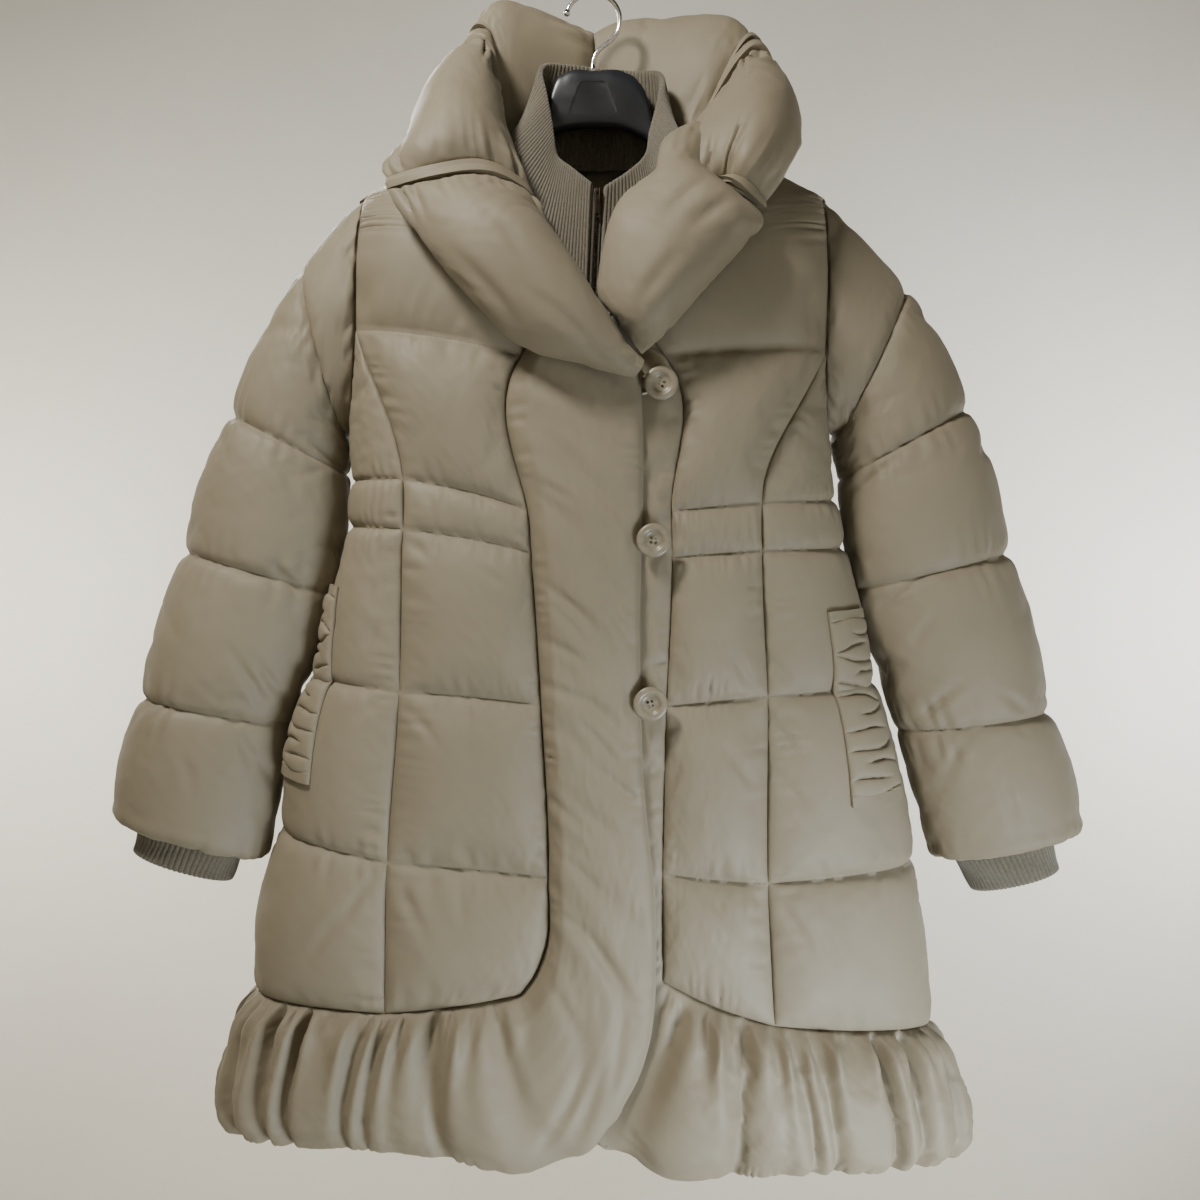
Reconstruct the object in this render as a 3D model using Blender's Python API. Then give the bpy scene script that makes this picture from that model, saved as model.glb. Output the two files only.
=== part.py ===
"""Women's long puffer coat with a shawl collar, on a moulded hanger with a wire hook.

Metres, +Z up. The origin is the inside of the hook's top, where a rail or a nail carries it.
The coat faces -Y, and the wearer's left is at +X. Every quilted panel is a closed wall: a plain
inner face on the coat's form, and an outer face that is thin at its seams and full between them.
"""

import math

import bmesh
import bpy
import numpy as np

# ---------------------------------------------------------------- driving sizes

SEAM_WALL = 0.0030          # thickness of a quilted wall at its seams
EDGE_INSET = 0.00018        # each panel stops this far short of its seam
RIDGE_GAP = 0.0005          # and this far from the shoulder ridge
OUTLINE_PAD = 0.006         # the inner face lies this far inside the coat's outline
SLEEVE_PAD = 0.004          # the same on the sleeves
RIDGE_Y = -0.012            # depth of the shoulder ridge
SHOULDER_ROUND = 0.100      # drop over which the shoulder turns from ridge to full depth
NECK_RIDGE = (0.060, -0.118)    # a point of the shoulder ridge near the neck: x, z
RIDGE_SLOPE = 0.514         # fall of the ridge per metre across
BACK_NECK_Z = -0.132        # height of the back neck edge
ARMHOLE_TOP_X = 0.199
ARMHOLE_BOTTOM_Z = -0.385
ARMHOLE_FRONT = 0.048       # half depths of the armhole
ARMHOLE_BACK = 0.044
BAY_ROWS = (0.0, 0.25, 0.75)    # rows of points within one quilted bay
TOP_BAY_ROWS = (0.0, 0.2, 0.42, 0.64, 0.8, 0.9, 0.965)
BODY_BAYS = 7
INNER_TOP_ROWS = (6.42, 6.8, 6.965)     # rows that a panel's inner face keeps near the ridge
BAY_COLUMNS = (0.0, 0.18, 0.5, 0.82, 1.0)


class Table:
    """Rows of numbers under named columns, read smoothly along the first column."""

    def __init__(self, names, *rows):
        self.names = names.split()
        self.rows = np.array(rows, float)

    def column(self, name):
        return self.rows[:, self.names.index(name)]

    def at(self, name, place):
        place = np.clip(place, self.rows[0, 0], self.rows[-1, 0])
        return smooth_between(self.rows[:, 0], self.column(name), place)

    def vector(self, prefix, place):
        return np.stack([self.at(prefix + axis, place) for axis in "xyz"], -1)


def smooth_between(knots, values, place):
    """Cubic Hermite curve through the values, with slopes from their neighbours."""
    slopes = np.gradient(values, knots)
    left = np.clip(np.searchsorted(knots, place, side="right") - 1, 0, len(knots) - 2)
    span = knots[left + 1] - knots[left]
    part = (place - knots[left]) / span
    keep, gain = 2 * part**3 - 3 * part**2 + 1, part**3 - 2 * part**2 + part
    push = part**3 - part**2
    return (keep * values[left] + (1 - keep) * values[left + 1]
            + span * (gain * slopes[left] + push * slopes[left + 1]))


# The coat's outline at each height: left and right edge, front and back, squareness of the section.
BODY = Table(
    "z       left    right   front   back   square",
    (-1.020, -0.309, 0.311, -0.118, 0.070, 2.4),
    (-0.985, -0.315, 0.314, -0.121, 0.073, 2.4),
    (-0.950, -0.314, 0.306, -0.122, 0.073, 2.4),
    (-0.910, -0.303, 0.294, -0.120, 0.071, 2.4),
    (-0.870, -0.291, 0.288, -0.116, 0.066, 2.5),
    (-0.800, -0.284, 0.279, -0.117, 0.064, 2.5),
    (-0.740, -0.270, 0.273, -0.118, 0.063, 2.5),
    (-0.640, -0.250, 0.250, -0.119, 0.062, 2.6),
    (-0.560, -0.224, 0.229, -0.119, 0.061, 2.7),
    (-0.484, -0.209, 0.213, -0.119, 0.060, 2.8),
    (-0.435, -0.206, 0.205, -0.117, 0.060, 2.9),
    (-0.385, -0.207, 0.201, -0.114, 0.060, 3.2),
    (-0.300, -0.206, 0.204, -0.106, 0.060, 4.0),
    (-0.200, -0.205, 0.205, -0.095, 0.060, 5.0),
    (-0.080, -0.205, 0.205, -0.085, 0.060, 5.0),
)

# Seam lines down the front: where each lies across at a height.
PLACKET = {
    "right": Table("z x", (-0.8503, -0.0575), (-0.8380, -0.0480), (-0.8145, -0.0376),
                   (-0.7585, -0.0352), (-0.6070, -0.0416), (-0.4800, -0.0496),
                   (-0.3406, -0.0575), (-0.3220, -0.0440), (-0.3020, -0.0100)),
    "left": Table("z x", (-0.8396, 0.0560), (-0.7530, 0.0560), (-0.6200, 0.0590),
                  (-0.5020, 0.0635), (-0.4650, 0.0630), (-0.3400, 0.0580),
                  (-0.3230, 0.0440), (-0.3050, 0.0200)),
}
PRINCESS = {
    "right": Table("z x", (-0.8687, -0.1672), (-0.7473, -0.1647), (-0.6090, -0.1550),
                   (-0.5030, -0.1533), (-0.4380, -0.1525), (-0.3100, -0.1875)),
    "left": Table("z x", (-0.8777, 0.1462), (-0.7474, 0.1405), (-0.6170, 0.1405),
                  (-0.5030, 0.1364), (-0.4380, 0.1381), (-0.3729, 0.1609), (-0.3280, 0.1788)),
}
NECKLINE = {
    "right": Table("z x", (-0.3020, -0.0100), (-0.2635, -0.0222), (-0.2370, -0.0360),
                   (-0.2110, -0.0480), (-0.1790, -0.0600), (-0.1530, -0.0690),
                   (-0.1283, -0.0800)),
    "left": Table("z x", (-0.3050, 0.0200), (-0.2606, 0.0310), (-0.2370, 0.0420),
                  (-0.2103, 0.0540), (-0.1790, 0.0670), (-0.1550, 0.0780), (-0.1334, 0.0900)),
}
# Heights of the quilting rows where they meet each seam, from the hem seam up.
RUNGS = {
    "right": {"placket": (-0.8503, -0.7565, -0.6191, -0.4984, -0.4642, -0.3406, -0.3020),
              "princess": (-0.8687, -0.7468, -0.6093, -0.4784, -0.4375, -0.3100),
              "side": (-0.8676, -0.7254, -0.5978, -0.4728, -0.4348, ARMHOLE_BOTTOM_Z)},
    "left": {"placket": (-0.8396, -0.7532, -0.6205, -0.5021, -0.4653, -0.3400, -0.3050),
             "princess": (-0.8777, -0.7631, -0.6134, -0.4964, -0.4580, -0.3280),
             "side": (-0.8995, -0.7556, -0.6047, -0.4909, -0.4495, ARMHOLE_BOTTOM_Z)},
}
SIGN = {"right": -1.0, "left": 1.0}
# How far the filling stands out in each bay, from the hem seam up.
FRONT_PUFF = (0.012, 0.012, 0.011, 0.006, 0.011, 0.005, 0.004)
SIDE_PUFF = (0.011, 0.010, 0.009, 0.005, 0.003)
BACK_PUFF = (0.012, 0.012, 0.011, 0.006, 0.004, 0.006, 0.005)

# ---------------------------------------------------------------- the coat's form


def shoulder_z(x):
    return NECK_RIDGE[1] - RIDGE_SLOPE * (np.abs(x) - NECK_RIDGE[0])


def section(z):
    """Centre, half width, half depth and squareness of the inner face at a height."""
    left, right = BODY.at("left", z) + OUTLINE_PAD, BODY.at("right", z) - OUTLINE_PAD
    front, back = BODY.at("front", z) + OUTLINE_PAD, BODY.at("back", z) - OUTLINE_PAD
    return ((left + right) / 2, (front + back) / 2, (right - left) / 2, (back - front) / 2,
            BODY.at("square", z))


def fullness(x, z):
    """How much of its full depth the coat has below the shoulder ridge, 0 to 1."""
    drop = np.clip((shoulder_z(x) - z) / SHOULDER_ROUND, 0.0, 1.0)
    return np.sqrt(np.clip(1 - (1 - drop) ** 2, 0.0, 1.0))


def body_point(turn, z):
    """Inner face of the body: turn 0 is the centre front, 0.25 the left side, 0.5 the back."""
    turn, z = np.broadcast_arrays(np.asarray(turn, float), np.asarray(z, float))
    middle_x, middle_y, half_x, half_y, square = section(z)
    sine, cosine = np.sin(2 * np.pi * turn), np.cos(2 * np.pi * turn)
    reach = (np.abs(sine / half_x) ** square + np.abs(cosine / half_y) ** square) ** (-1 / square)
    x = middle_x + reach * sine
    y = middle_y - reach * cosine
    y = RIDGE_Y + (y - RIDGE_Y) * fullness(x, z)
    return np.stack([x, y, z], -1)


def body_normal(turn, z):
    step = 0.0005
    across = body_point(turn + step, z) - body_point(turn - step, z)
    upward = body_point(turn, z + step) - body_point(turn, z - step)
    return unit(np.cross(across, upward))


def unit(vectors):
    return vectors / np.maximum(np.linalg.norm(vectors, axis=-1, keepdims=True), 1e-12)


def turn_at_x(x, z, back=False):
    """The turn where the front, or the back, has a given place across."""
    middle_x, middle_y, half_x, half_y, square = section(np.asarray(z, float))
    share = np.clip(np.abs(x - middle_x) / half_x, 0.0, 0.999)
    depth = half_y * (1 - share**square) ** (1 / square)
    return np.arctan2(x - middle_x, -depth if back else depth) / (2 * np.pi)


def armhole(side, angle):
    """Turn and height along an armhole: angle 0 at the shoulder, pi at the underarm, front first."""
    angle = np.asarray(angle, float)
    back = np.sin(angle) < 0
    top = shoulder_z(ARMHOLE_TOP_X)
    half = (top - ARMHOLE_BOTTOM_Z) / 2
    sink = (1 - np.cos(angle)) / 2
    z = top - 2 * half * sink
    middle_x, middle_y, half_x, half_y, square = section(z)
    reach = np.where(back, ARMHOLE_BACK, ARMHOLE_FRONT) * -np.sin(angle)
    y = reach / np.maximum(fullness(ARMHOLE_TOP_X, z), 0.25)
    y = y + RIDGE_Y + (middle_y - RIDGE_Y) * sink
    share = np.clip(np.abs(y - middle_y) / half_y, 0.0, 0.97)
    x = half_x * (1 - share**square) ** (1 / square)
    return np.arctan2(SIGN[side] * x, middle_y - y) / (2 * np.pi), z


def princess_angle(side):
    top = shoulder_z(ARMHOLE_TOP_X)
    half = (top - ARMHOLE_BOTTOM_Z) / 2
    return math.acos((RUNGS[side]["princess"][-1] - top + half) / half)


# ---------------------------------------------------------------- seams as functions of the row


def row_places(bays):
    """Rows of points up a panel; the bay under the shoulder ridge turns over it in finer steps."""
    places = [bay + part for bay in range(bays) for part in BAY_ROWS]
    if bays == BODY_BAYS:
        places = [place for place in places if place < bays - 1]
        places += [bays - 1 + part for part in TOP_BAY_ROWS]
    return np.array(places + [float(bays)])


def rung_height(heights, row):
    return np.interp(row, np.arange(len(heights)), heights)


def placket_line(side, row):
    """Seam of the placket up to the neckline, then the neckline up to the shoulder."""
    heights = RUNGS[side]["placket"]
    last = len(heights) - 1
    neck_heights = NECKLINE[side].rows[:, 0]
    z = np.where(row <= last, rung_height(heights, row),
                 neck_heights[0] + (neck_heights[-1] - neck_heights[0]) * (row - last))
    x = np.where(row <= last, PLACKET[side].at("x", z), NECKLINE[side].at("x", z))
    return turn_at_x(x, z), z


def princess_line(side, row):
    """Princess seam up to the armhole, then the front of the armhole up to the shoulder."""
    heights = RUNGS[side]["princess"]
    last = len(heights) - 1
    z = rung_height(heights, np.minimum(row, last))
    turn = turn_at_x(PRINCESS[side].at("x", z), z)
    top_turn, _ = armhole(side, princess_angle(side))
    miss = top_turn - turn_at_x(PRINCESS[side].at("x", heights[-1]), heights[-1])
    turn = turn + miss * np.clip(row - (last - 1), 0, 1) ** 2
    arm_turn, arm_z = armhole(side, princess_angle(side) * (1 - np.clip(row - last, 0, 2) / 2))
    return np.where(row <= last, turn, arm_turn), np.where(row <= last, z, arm_z)


def side_line(side, row):
    """Side seam up to the underarm, then the back of the armhole up to the shoulder."""
    heights = RUNGS[side]["side"]
    last = len(heights) - 1
    z = rung_height(heights, np.minimum(row, last))
    arm_turn, arm_z = armhole(side, np.pi * (1 + np.clip(row - last, 0, 2) / 2))
    turn = np.where(row <= last, SIGN[side] * 0.25, arm_turn)
    return turn, np.where(row <= last, z, arm_z)


# ---------------------------------------------------------------- mesh helpers

MATERIALS = {
    "shell": ((0.30, 0.26, 0.19, 1), 0.42, 0.0),
    "rib_knit": ((0.13, 0.115, 0.08, 1), 0.85, 0.0),
    "hanger_plastic": ((0.015, 0.016, 0.019, 1), 0.35, 0.0),
    "chrome": ((0.75, 0.75, 0.76, 1), 0.12, 1.0),
    "button": ((0.35, 0.30, 0.22, 1), 0.18, 0.0),
    "loop": ((0.40, 0.36, 0.28, 1), 0.7, 0.0),
    "zip_metal": ((0.10, 0.085, 0.06, 1), 0.35, 0.9),
}


def material(name):
    found = bpy.data.materials.get(name)
    if found:
        return found
    colour, roughness, metallic = MATERIALS[name]
    made = bpy.data.materials.new(name)
    made.use_nodes = True
    shader = made.node_tree.nodes["Principled BSDF"]
    shader.inputs["Base Color"].default_value = colour
    shader.inputs["Roughness"].default_value = roughness
    shader.inputs["Metallic"].default_value = metallic
    return made


def add_object(name, vertices, faces, look):
    mesh = bpy.data.meshes.new(name)
    mesh.from_pydata([tuple(map(float, point)) for point in vertices], [], faces)
    shaped = bmesh.new()
    shaped.from_mesh(mesh)
    unused = [vertex for vertex in shaped.verts if not vertex.link_faces]
    bmesh.ops.delete(shaped, geom=unused, context="VERTS")
    bmesh.ops.recalc_face_normals(shaped, faces=shaped.faces)
    if shaped.calc_volume(signed=True) < 0:
        bmesh.ops.reverse_faces(shaped, faces=shaped.faces)
    shaped.to_mesh(mesh)
    shaped.free()
    mesh.shade_smooth()
    mesh.set_sharp_from_angle(angle=math.radians(50))
    mesh.materials.append(material(look))
    made = bpy.data.objects.new(name, mesh)
    bpy.context.scene.collection.objects.link(made)
    return made


def wall(name, outer, inner, rows, columns, look="shell", closed=False):
    """Closed wall between two grids; the inner face keeps its border and the named lines."""
    count_r, count_c = outer.shape[:2]
    vertices = list(outer.reshape(-1, 3)) + list(inner.reshape(-1, 3))
    first_inner = count_r * count_c
    last_r = count_r - 1
    last_c = count_c if closed else count_c - 1

    def out(row, column):
        return row * count_c + column % count_c

    def ins(row, column):
        return first_inner + out(row, column)

    faces = []
    for r in range(last_r):
        for c in range(last_c):
            faces.append((out(r, c), out(r, c + 1), out(r + 1, c + 1)))
            faces.append((out(r, c), out(r + 1, c + 1), out(r + 1, c)))
    lines = list(columns) + [count_c] if closed else list(columns)
    for low, high in zip(rows, rows[1:]):
        for left, right in zip(lines, lines[1:]):
            fine = range(left, right + 1)
            below = fine if low == 0 else (left, right)
            above = fine if high == last_r else (left, right)
            at_left = range(low, high + 1) if left == 0 and not closed else (low, high)
            at_right = range(low, high + 1) if right == last_c and not closed else (low, high)
            border = [(low, c) for c in below] + [(r, right) for r in at_right][1:]
            border += [(high, c) for c in reversed(above)][1:]
            border += [(r, left) for r in reversed(at_left)][1:-1]
            faces.append([ins(r, c) for r, c in reversed(border)])
    rim = []
    for c in range(last_c):
        rim.append((out(0, c + 1), out(0, c), ins(0, c), ins(0, c + 1)))
        rim.append((out(last_r, c), out(last_r, c + 1), ins(last_r, c + 1), ins(last_r, c)))
    if not closed:
        for r in range(last_r):
            rim.append((out(r, 0), out(r + 1, 0), ins(r + 1, 0), ins(r, 0)))
            rim.append((out(r + 1, last_c), out(r, last_c), ins(r, last_c), ins(r + 1, last_c)))
    for quad in rim:
        faces += split_short(vertices, quad)
    return add_object(name, vertices, faces, look)


def split_short(vertices, quad):
    """Two triangles along the shorter diagonal, so that facing rims are cut alike."""
    a, b, c, d = quad
    if np.linalg.norm(vertices[a] - vertices[c]) < np.linalg.norm(vertices[b] - vertices[d]):
        return [(a, b, c), (a, c, d)]
    return [(a, b, d), (b, c, d)]


def pull_edges_in(grid, amount=EDGE_INSET):
    """Moves the edge points of a grid inwards, square to each edge, to leave the seam's gap."""
    moved = grid.copy()
    edges = (((0,), (1,)), ((-1,), (-2,)), ((slice(None), 0), (slice(None), 1)),
             ((slice(None), -1), (slice(None), -2)))
    for edge, beside in edges:
        run = unit(np.gradient(grid[edge], axis=0))
        inwards = grid[beside] - grid[edge]
        inwards = inwards - (inwards * run).sum(-1, keepdims=True) * run
        moved[edge] += amount * unit(inwards)
    return moved


def swell(part, power=0.6):
    """Height of a filled bay across one direction: 0 at its seams, 1 in the middle."""
    return (4 * np.clip(part, 0, 1) * (1 - np.clip(part, 0, 1))) ** power


def every(count, step):
    """Indices 0, step, 2 step ... and always the last one."""
    kept = list(range(0, count, step))
    return kept if kept[-1] == count - 1 else kept + [count - 1]


# ---------------------------------------------------------------- quilted body panels


def panel_places(left, right, rows, columns, top_row=None):
    """Turn and height over a panel between two seam lines, with an optional shaped top row."""
    left_turn, left_z = left(rows)
    right_turn, right_z = right(rows)
    turn = left_turn[:, None] + (right_turn - left_turn)[:, None] * columns
    z = left_z[:, None] + (right_z - left_z)[:, None] * columns
    if top_row is not None:
        last_bay = np.clip(rows - (rows[-1] - 1), 0, 1)[:, None]
        top_turn, top_z = top_row
        turn = turn + last_bay * (top_turn - turn[-1])
        z = z + last_bay * (top_z - z[-1])
    return turn, z


def quilted_wall(name, turn, z, rows, columns, puffs, mitre=None, inner_columns=2, ridge=0.0):
    """A panel on the body's form, raised between its quilting rows and seams."""
    base = body_point(turn, z)
    normal = body_normal(turn, z)
    bay = np.minimum(rows.astype(int), len(puffs) - 1)
    height = (np.array(puffs)[bay] * swell(rows - bay))[:, None] * swell(columns, 0.45)
    base[-1, :, 1] += ridge
    outer = base + normal * (SEAM_WALL + height)[..., None]
    inner = base.copy()
    if mitre is not None:
        inner = inner + mitre
    outer, inner = pull_edges_in(outer), pull_edges_in(inner)
    kept = [k for k, row in enumerate(rows) if row == int(row) or row in INNER_TOP_ROWS]
    wall(name, outer, inner, kept, every(len(columns), inner_columns))
    return {"outer": outer, "inner": inner}


def armhole_mitre(shape, on_armhole, points, side):
    """Carries the inner edge at an armhole towards the sleeve's own inner face."""
    shift = np.zeros(shape + (3,))
    centre = armhole_centre(side)
    towards = unit((centre - points) * (0, 1, 1))
    shift[on_armhole] = towards[on_armhole] * SEAM_WALL
    return shift


def armhole_centre(side):
    angles = np.linspace(0, 2 * np.pi, 24, endpoint=False)
    return body_point(*armhole(side, angles)).mean(0)


def centre_front(side):
    rows, columns = row_places(BODY_BAYS), np.array(BAY_COLUMNS)
    top_turn_ends = placket_line(side, np.array([7.0]))[0], princess_line(side, np.array([7.0]))[0]
    top_turn = top_turn_ends[0] + (top_turn_ends[1] - top_turn_ends[0]) * columns
    top_z = shoulder_z(body_point(top_turn, np.full_like(top_turn, -0.16))[..., 0])
    top_z[-1] = armhole(side, 0.0)[1]
    turn, z = panel_places(lambda r: placket_line(side, r), lambda r: princess_line(side, r),
                           rows, columns, (top_turn, top_z))
    edge = np.zeros(turn.shape, bool)
    edge[rows >= 5, -1] = True
    mitre = armhole_mitre(turn.shape, edge, body_point(turn, z), side)
    return quilted_wall("front_centre_" + side, turn, z, rows, columns, FRONT_PUFF, mitre,
                        ridge=-RIDGE_GAP)


def side_front(side):
    rows, columns = row_places(5), np.array(BAY_COLUMNS)
    angles = princess_angle(side) + (np.pi - princess_angle(side)) * columns
    turn, z = panel_places(lambda r: princess_line(side, r), lambda r: side_line(side, r),
                           rows, columns, armhole(side, angles))
    edge = np.zeros(turn.shape, bool)
    edge[-1] = True
    mitre = armhole_mitre(turn.shape, edge, body_point(turn, z), side)
    return quilted_wall("front_side_" + side, turn, z, rows, columns, SIDE_PUFF, mitre)


BACK_COLUMNS = np.array([0, 0.05, 0.14, 0.24, 0.34, 0.44, 0.5, 0.56, 0.66, 0.76, 0.86, 0.95, 1.0])


def back_top(x):
    return np.minimum(shoulder_z(x), BACK_NECK_Z)


def back_panel():
    rows, columns = row_places(BODY_BAYS), BACK_COLUMNS
    left_end = side_line("left", np.array([7.0]))[0]
    right_end = side_line("right", np.array([7.0]))[0] + 1.0
    top_turn = left_end + (right_end - left_end) * columns
    top_z = back_top(body_point(top_turn, np.full_like(top_turn, -0.16))[..., 0])
    top_z[[0, -1]] = armhole("left", 0.0)[1]

    def right_line(row):
        turn, z = side_line("right", row)
        return turn + 1.0, z

    turn, z = panel_places(lambda r: side_line("left", r), right_line, rows, columns,
                           (top_turn, top_z))
    mitre = np.zeros(turn.shape + (3,))
    for side, column in (("left", 0), ("right", -1)):
        edge = np.zeros(turn.shape, bool)
        edge[rows >= 5, column] = True
        mitre += armhole_mitre(turn.shape, edge, body_point(turn, z), side)
    return quilted_wall("back", turn, z, rows, columns, BACK_PUFF, mitre, 1, RIDGE_GAP)


# ---------------------------------------------------------------- sleeves and cuffs

# Each quilting row of a sleeve seen from the front, and its depth.
SLEEVE = {
    "right": Table("row  outer_x  outer_z  inner_x  inner_z  middle_y  half_y",
                   (1, -0.2517, -0.2495, -0.2120, -0.3990, -0.014, 0.052),
                   (2, -0.3102, -0.3771, -0.2130, -0.4270, -0.022, 0.050),
                   (3, -0.3473, -0.4952, -0.2190, -0.5297, -0.032, 0.047),
                   (4, -0.3818, -0.6185, -0.2560, -0.6409, -0.038, 0.045),
                   (5, -0.4033, -0.7142, -0.2760, -0.7478, -0.040, 0.043)),
    "left": Table("row  outer_x  outer_z  inner_x  inner_z  middle_y  half_y",
                  (1, 0.2718, -0.2675, 0.2085, -0.3990, -0.014, 0.052),
                  (2, 0.3218, -0.3719, 0.2130, -0.4320, -0.022, 0.050),
                  (3, 0.3537, -0.4960, 0.2240, -0.5280, -0.032, 0.047),
                  (4, 0.3864, -0.6305, 0.2600, -0.6470, -0.038, 0.045),
                  (5, 0.4123, -0.7245, 0.2886, -0.7497, -0.040, 0.043)),
}
UNDERARM_CLEAR = 0.0080
SLEEVE_AWAY = 0.0012         # the sleeve's edge lies this far outside the armhole
SLEEVE_PUFF = (0.006, 0.010, 0.011, 0.011, 0.011)
CUFF = {
    "right": Table("row  outer_x  outer_z  inner_x  inner_z  half_y",
                   (0, -0.3834, -0.7245, -0.2985, -0.7502, 0.030),
                   (1, -0.3911, -0.7468, -0.3090, -0.7735, 0.028)),
    "left": Table("row  outer_x  outer_z  inner_x  inner_z  half_y",
                  (0, 0.3881, -0.7322, 0.3066, -0.7520, 0.030),
                  (1, 0.3967, -0.7623, 0.3246, -0.7820, 0.028)),
}
CUFF_WALL = 0.0022
CUFF_RIBS = 40
CUFF_RIB_HEIGHT = 0.0009
CUFF_MIDDLE_Y = -0.040


def armhole_angles(side):
    """Angles of the points that the body's panels have along an armhole."""
    rows = row_places(BODY_BAYS)
    upper = (rows[rows >= 5] - 5) / 2
    front = princess_angle(side) * (1 - upper)
    lower = princess_angle(side) + (np.pi - princess_angle(side)) * np.array(BAY_COLUMNS)
    back = np.pi * (1 + upper)
    return np.concatenate([front[::-1], lower[1:], back[1:-1]])


def loop(outer_x, outer_z, inner_x, inner_z, middle_y, half_y, angles, inset=0.0):
    """Oval ring between an outer and an inner point of the outline."""
    outer, inner = np.array([outer_x, middle_y, outer_z]), np.array([inner_x, middle_y, inner_z])
    centre = (outer + inner) / 2
    arm = (outer - inner) / 2
    length = np.linalg.norm(arm)
    arm = arm * (length - inset) / length
    depth = np.array([0, -(half_y - inset), 0])
    return centre + np.cos(angles)[:, None] * arm + np.sin(angles)[:, None] * depth


def sleeve_ring(side, row, angles, inset):
    """Ring of a sleeve's form at a place between its quilting rows; row 0 is the armhole."""
    start = body_point(*armhole(side, angles))
    table = SLEEVE[side]
    values = [table.at(name, max(row, 1.0)) for name in table.names[1:]]
    ring = loop(*values, angles, SLEEVE_PAD + inset)
    if row >= 1:
        return ring
    # Below the arm the sleeve first runs clear of the side panels, then turns down.
    under = ((1 - np.cos(angles)) / 2)[:, None] ** 2
    clear = np.array([SIGN[side], 0, 0]) * UNDERARM_CLEAR * math.sin(math.pi * row) ** 0.5
    return start + (ring - start) * row + clear * under


def sleeve(side):
    angles = armhole_angles(side)
    table = SLEEVE[side]
    rows = row_places(5)
    outer, inner = [], []
    start = body_point(*armhole(side, angles))
    start_normal = body_normal(*armhole(side, angles))
    start_normal[0] = unit(start_normal[1] + start_normal[-1])      # on the ridge it points up
    away = np.array([SIGN[side], 0, 0])
    inward = unit((armhole_centre(side) - start) * (0, 1, 1)) * SEAM_WALL
    for row in rows:
        least = 0.05 if row < 2 else 0.3
        keep = (least + (1 - least) * (1 + np.cos(angles)) / 2)[:, None]
        base = sleeve_ring(side, row, angles, 0.0)
        outward = unit(base - base.mean(0))
        bay = min(int(row), 4)
        height = SLEEVE_PUFF[bay] * swell(row - bay)
        if row == 0:
            outer.append(start + start_normal * SEAM_WALL + away * SLEEVE_AWAY)
            inner.append(start + inward + away * SLEEVE_AWAY)
        else:
            outer.append(base + outward * (SEAM_WALL + height * keep))
            inner.append(base)
    # The end turns in under itself to the top of the rib cuff.
    hem = [table.at(name, 5.0) for name in table.names[1:]]
    cuff = [CUFF[side].at(name, 0.0) for name in CUFF[side].names[1:5]]
    cuff_half = float(CUFF[side].at("half_y", 0.0))
    axis = unit(np.array([hem[0] + hem[2], 0, hem[1] + hem[3]])
                - np.array([table.at("outer_x", 4.0) + table.at("inner_x", 4.0), 0,
                            table.at("outer_z", 4.0) + table.at("inner_z", 4.0)]))
    round_end = loop(*hem, angles, 0.004) + axis * 0.004
    flange = loop(*cuff, CUFF_MIDDLE_Y, cuff_half, angles, 0.004)
    outer += [round_end, flange]
    inner[-1] = inner[-1] - axis * 0.004
    inner += [(inner[-1] + flange) / 2 - axis * 0.002, flange - axis * 0.0025]
    outer, inner = np.array(outer), np.array(inner)
    keep_rows = [k for k, row in enumerate(rows) if row < 1 or row == int(row)]
    keep_rows += [len(rows), len(rows) + 1]
    wall("sleeve_" + side, outer, inner, keep_rows, every(len(angles), 3)[:-1], closed=True)


def cuff(side):
    """Rib-knit tube whose ribs run round its outer face."""
    points = 2 * CUFF_RIBS
    angles = np.linspace(0, 2 * np.pi, points, endpoint=False)
    ridge = np.where(np.arange(points) % 2 == 0, CUFF_RIB_HEIGHT, 0.0)[:, None]
    table = CUFF[side]
    outer, inner = [], []
    for row in (0.0, 0.93, 1.0):
        values = [table.at(name, row) for name in table.names[1:5]]
        half_y = float(table.at("half_y", row))
        ring = loop(*values, CUFF_MIDDLE_Y, half_y, angles)
        pinch = 0.0008 if row == 1.0 else 0.0
        outward = unit(ring - ring.mean(0))
        outer.append(ring + outward * (ridge * (row < 1.0) - pinch))
        inner.append(ring - outward * (CUFF_WALL - pinch))
    start = unit(outer[-1].mean(0) - outer[0].mean(0)) * 0.0006
    outer[0], inner[0] = outer[0] + start, inner[0] + start
    wall("cuff_" + side, np.array(outer), np.array(inner), [0, 2], list(range(0, points, 8)),
         "rib_knit", closed=True)


# ---------------------------------------------------------------- bands and balloon hem

# The overlapping front edge, and the hidden edge of the underlap.
FRONT_EDGE = {
    "right": Table("z x", (-0.9670, 0.0102), (-0.9395, 0.0220), (-0.9157, 0.0355),
                   (-0.8920, 0.0440), (-0.8603, 0.0490), (-0.8207, 0.0505), (-0.7732, 0.0497),
                   (-0.7336, 0.0458), (-0.6940, 0.0418), (-0.6307, 0.0387), (-0.5674, 0.0379),
                   (-0.5040, 0.0387), (-0.4565, 0.0402), (-0.4011, 0.0402), (-0.3540, 0.0379)),
    "left": Table("z x", (-0.9720, -0.0060), (-0.8600, -0.0100), (-0.3300, -0.0120)),
}
EDGE_TOP = {"right": -0.3540, "left": -0.3300}
EDGE_HEM_START = {"right": -0.9450, "left": -0.9400}    # edge height level with the hem's corner
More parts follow.
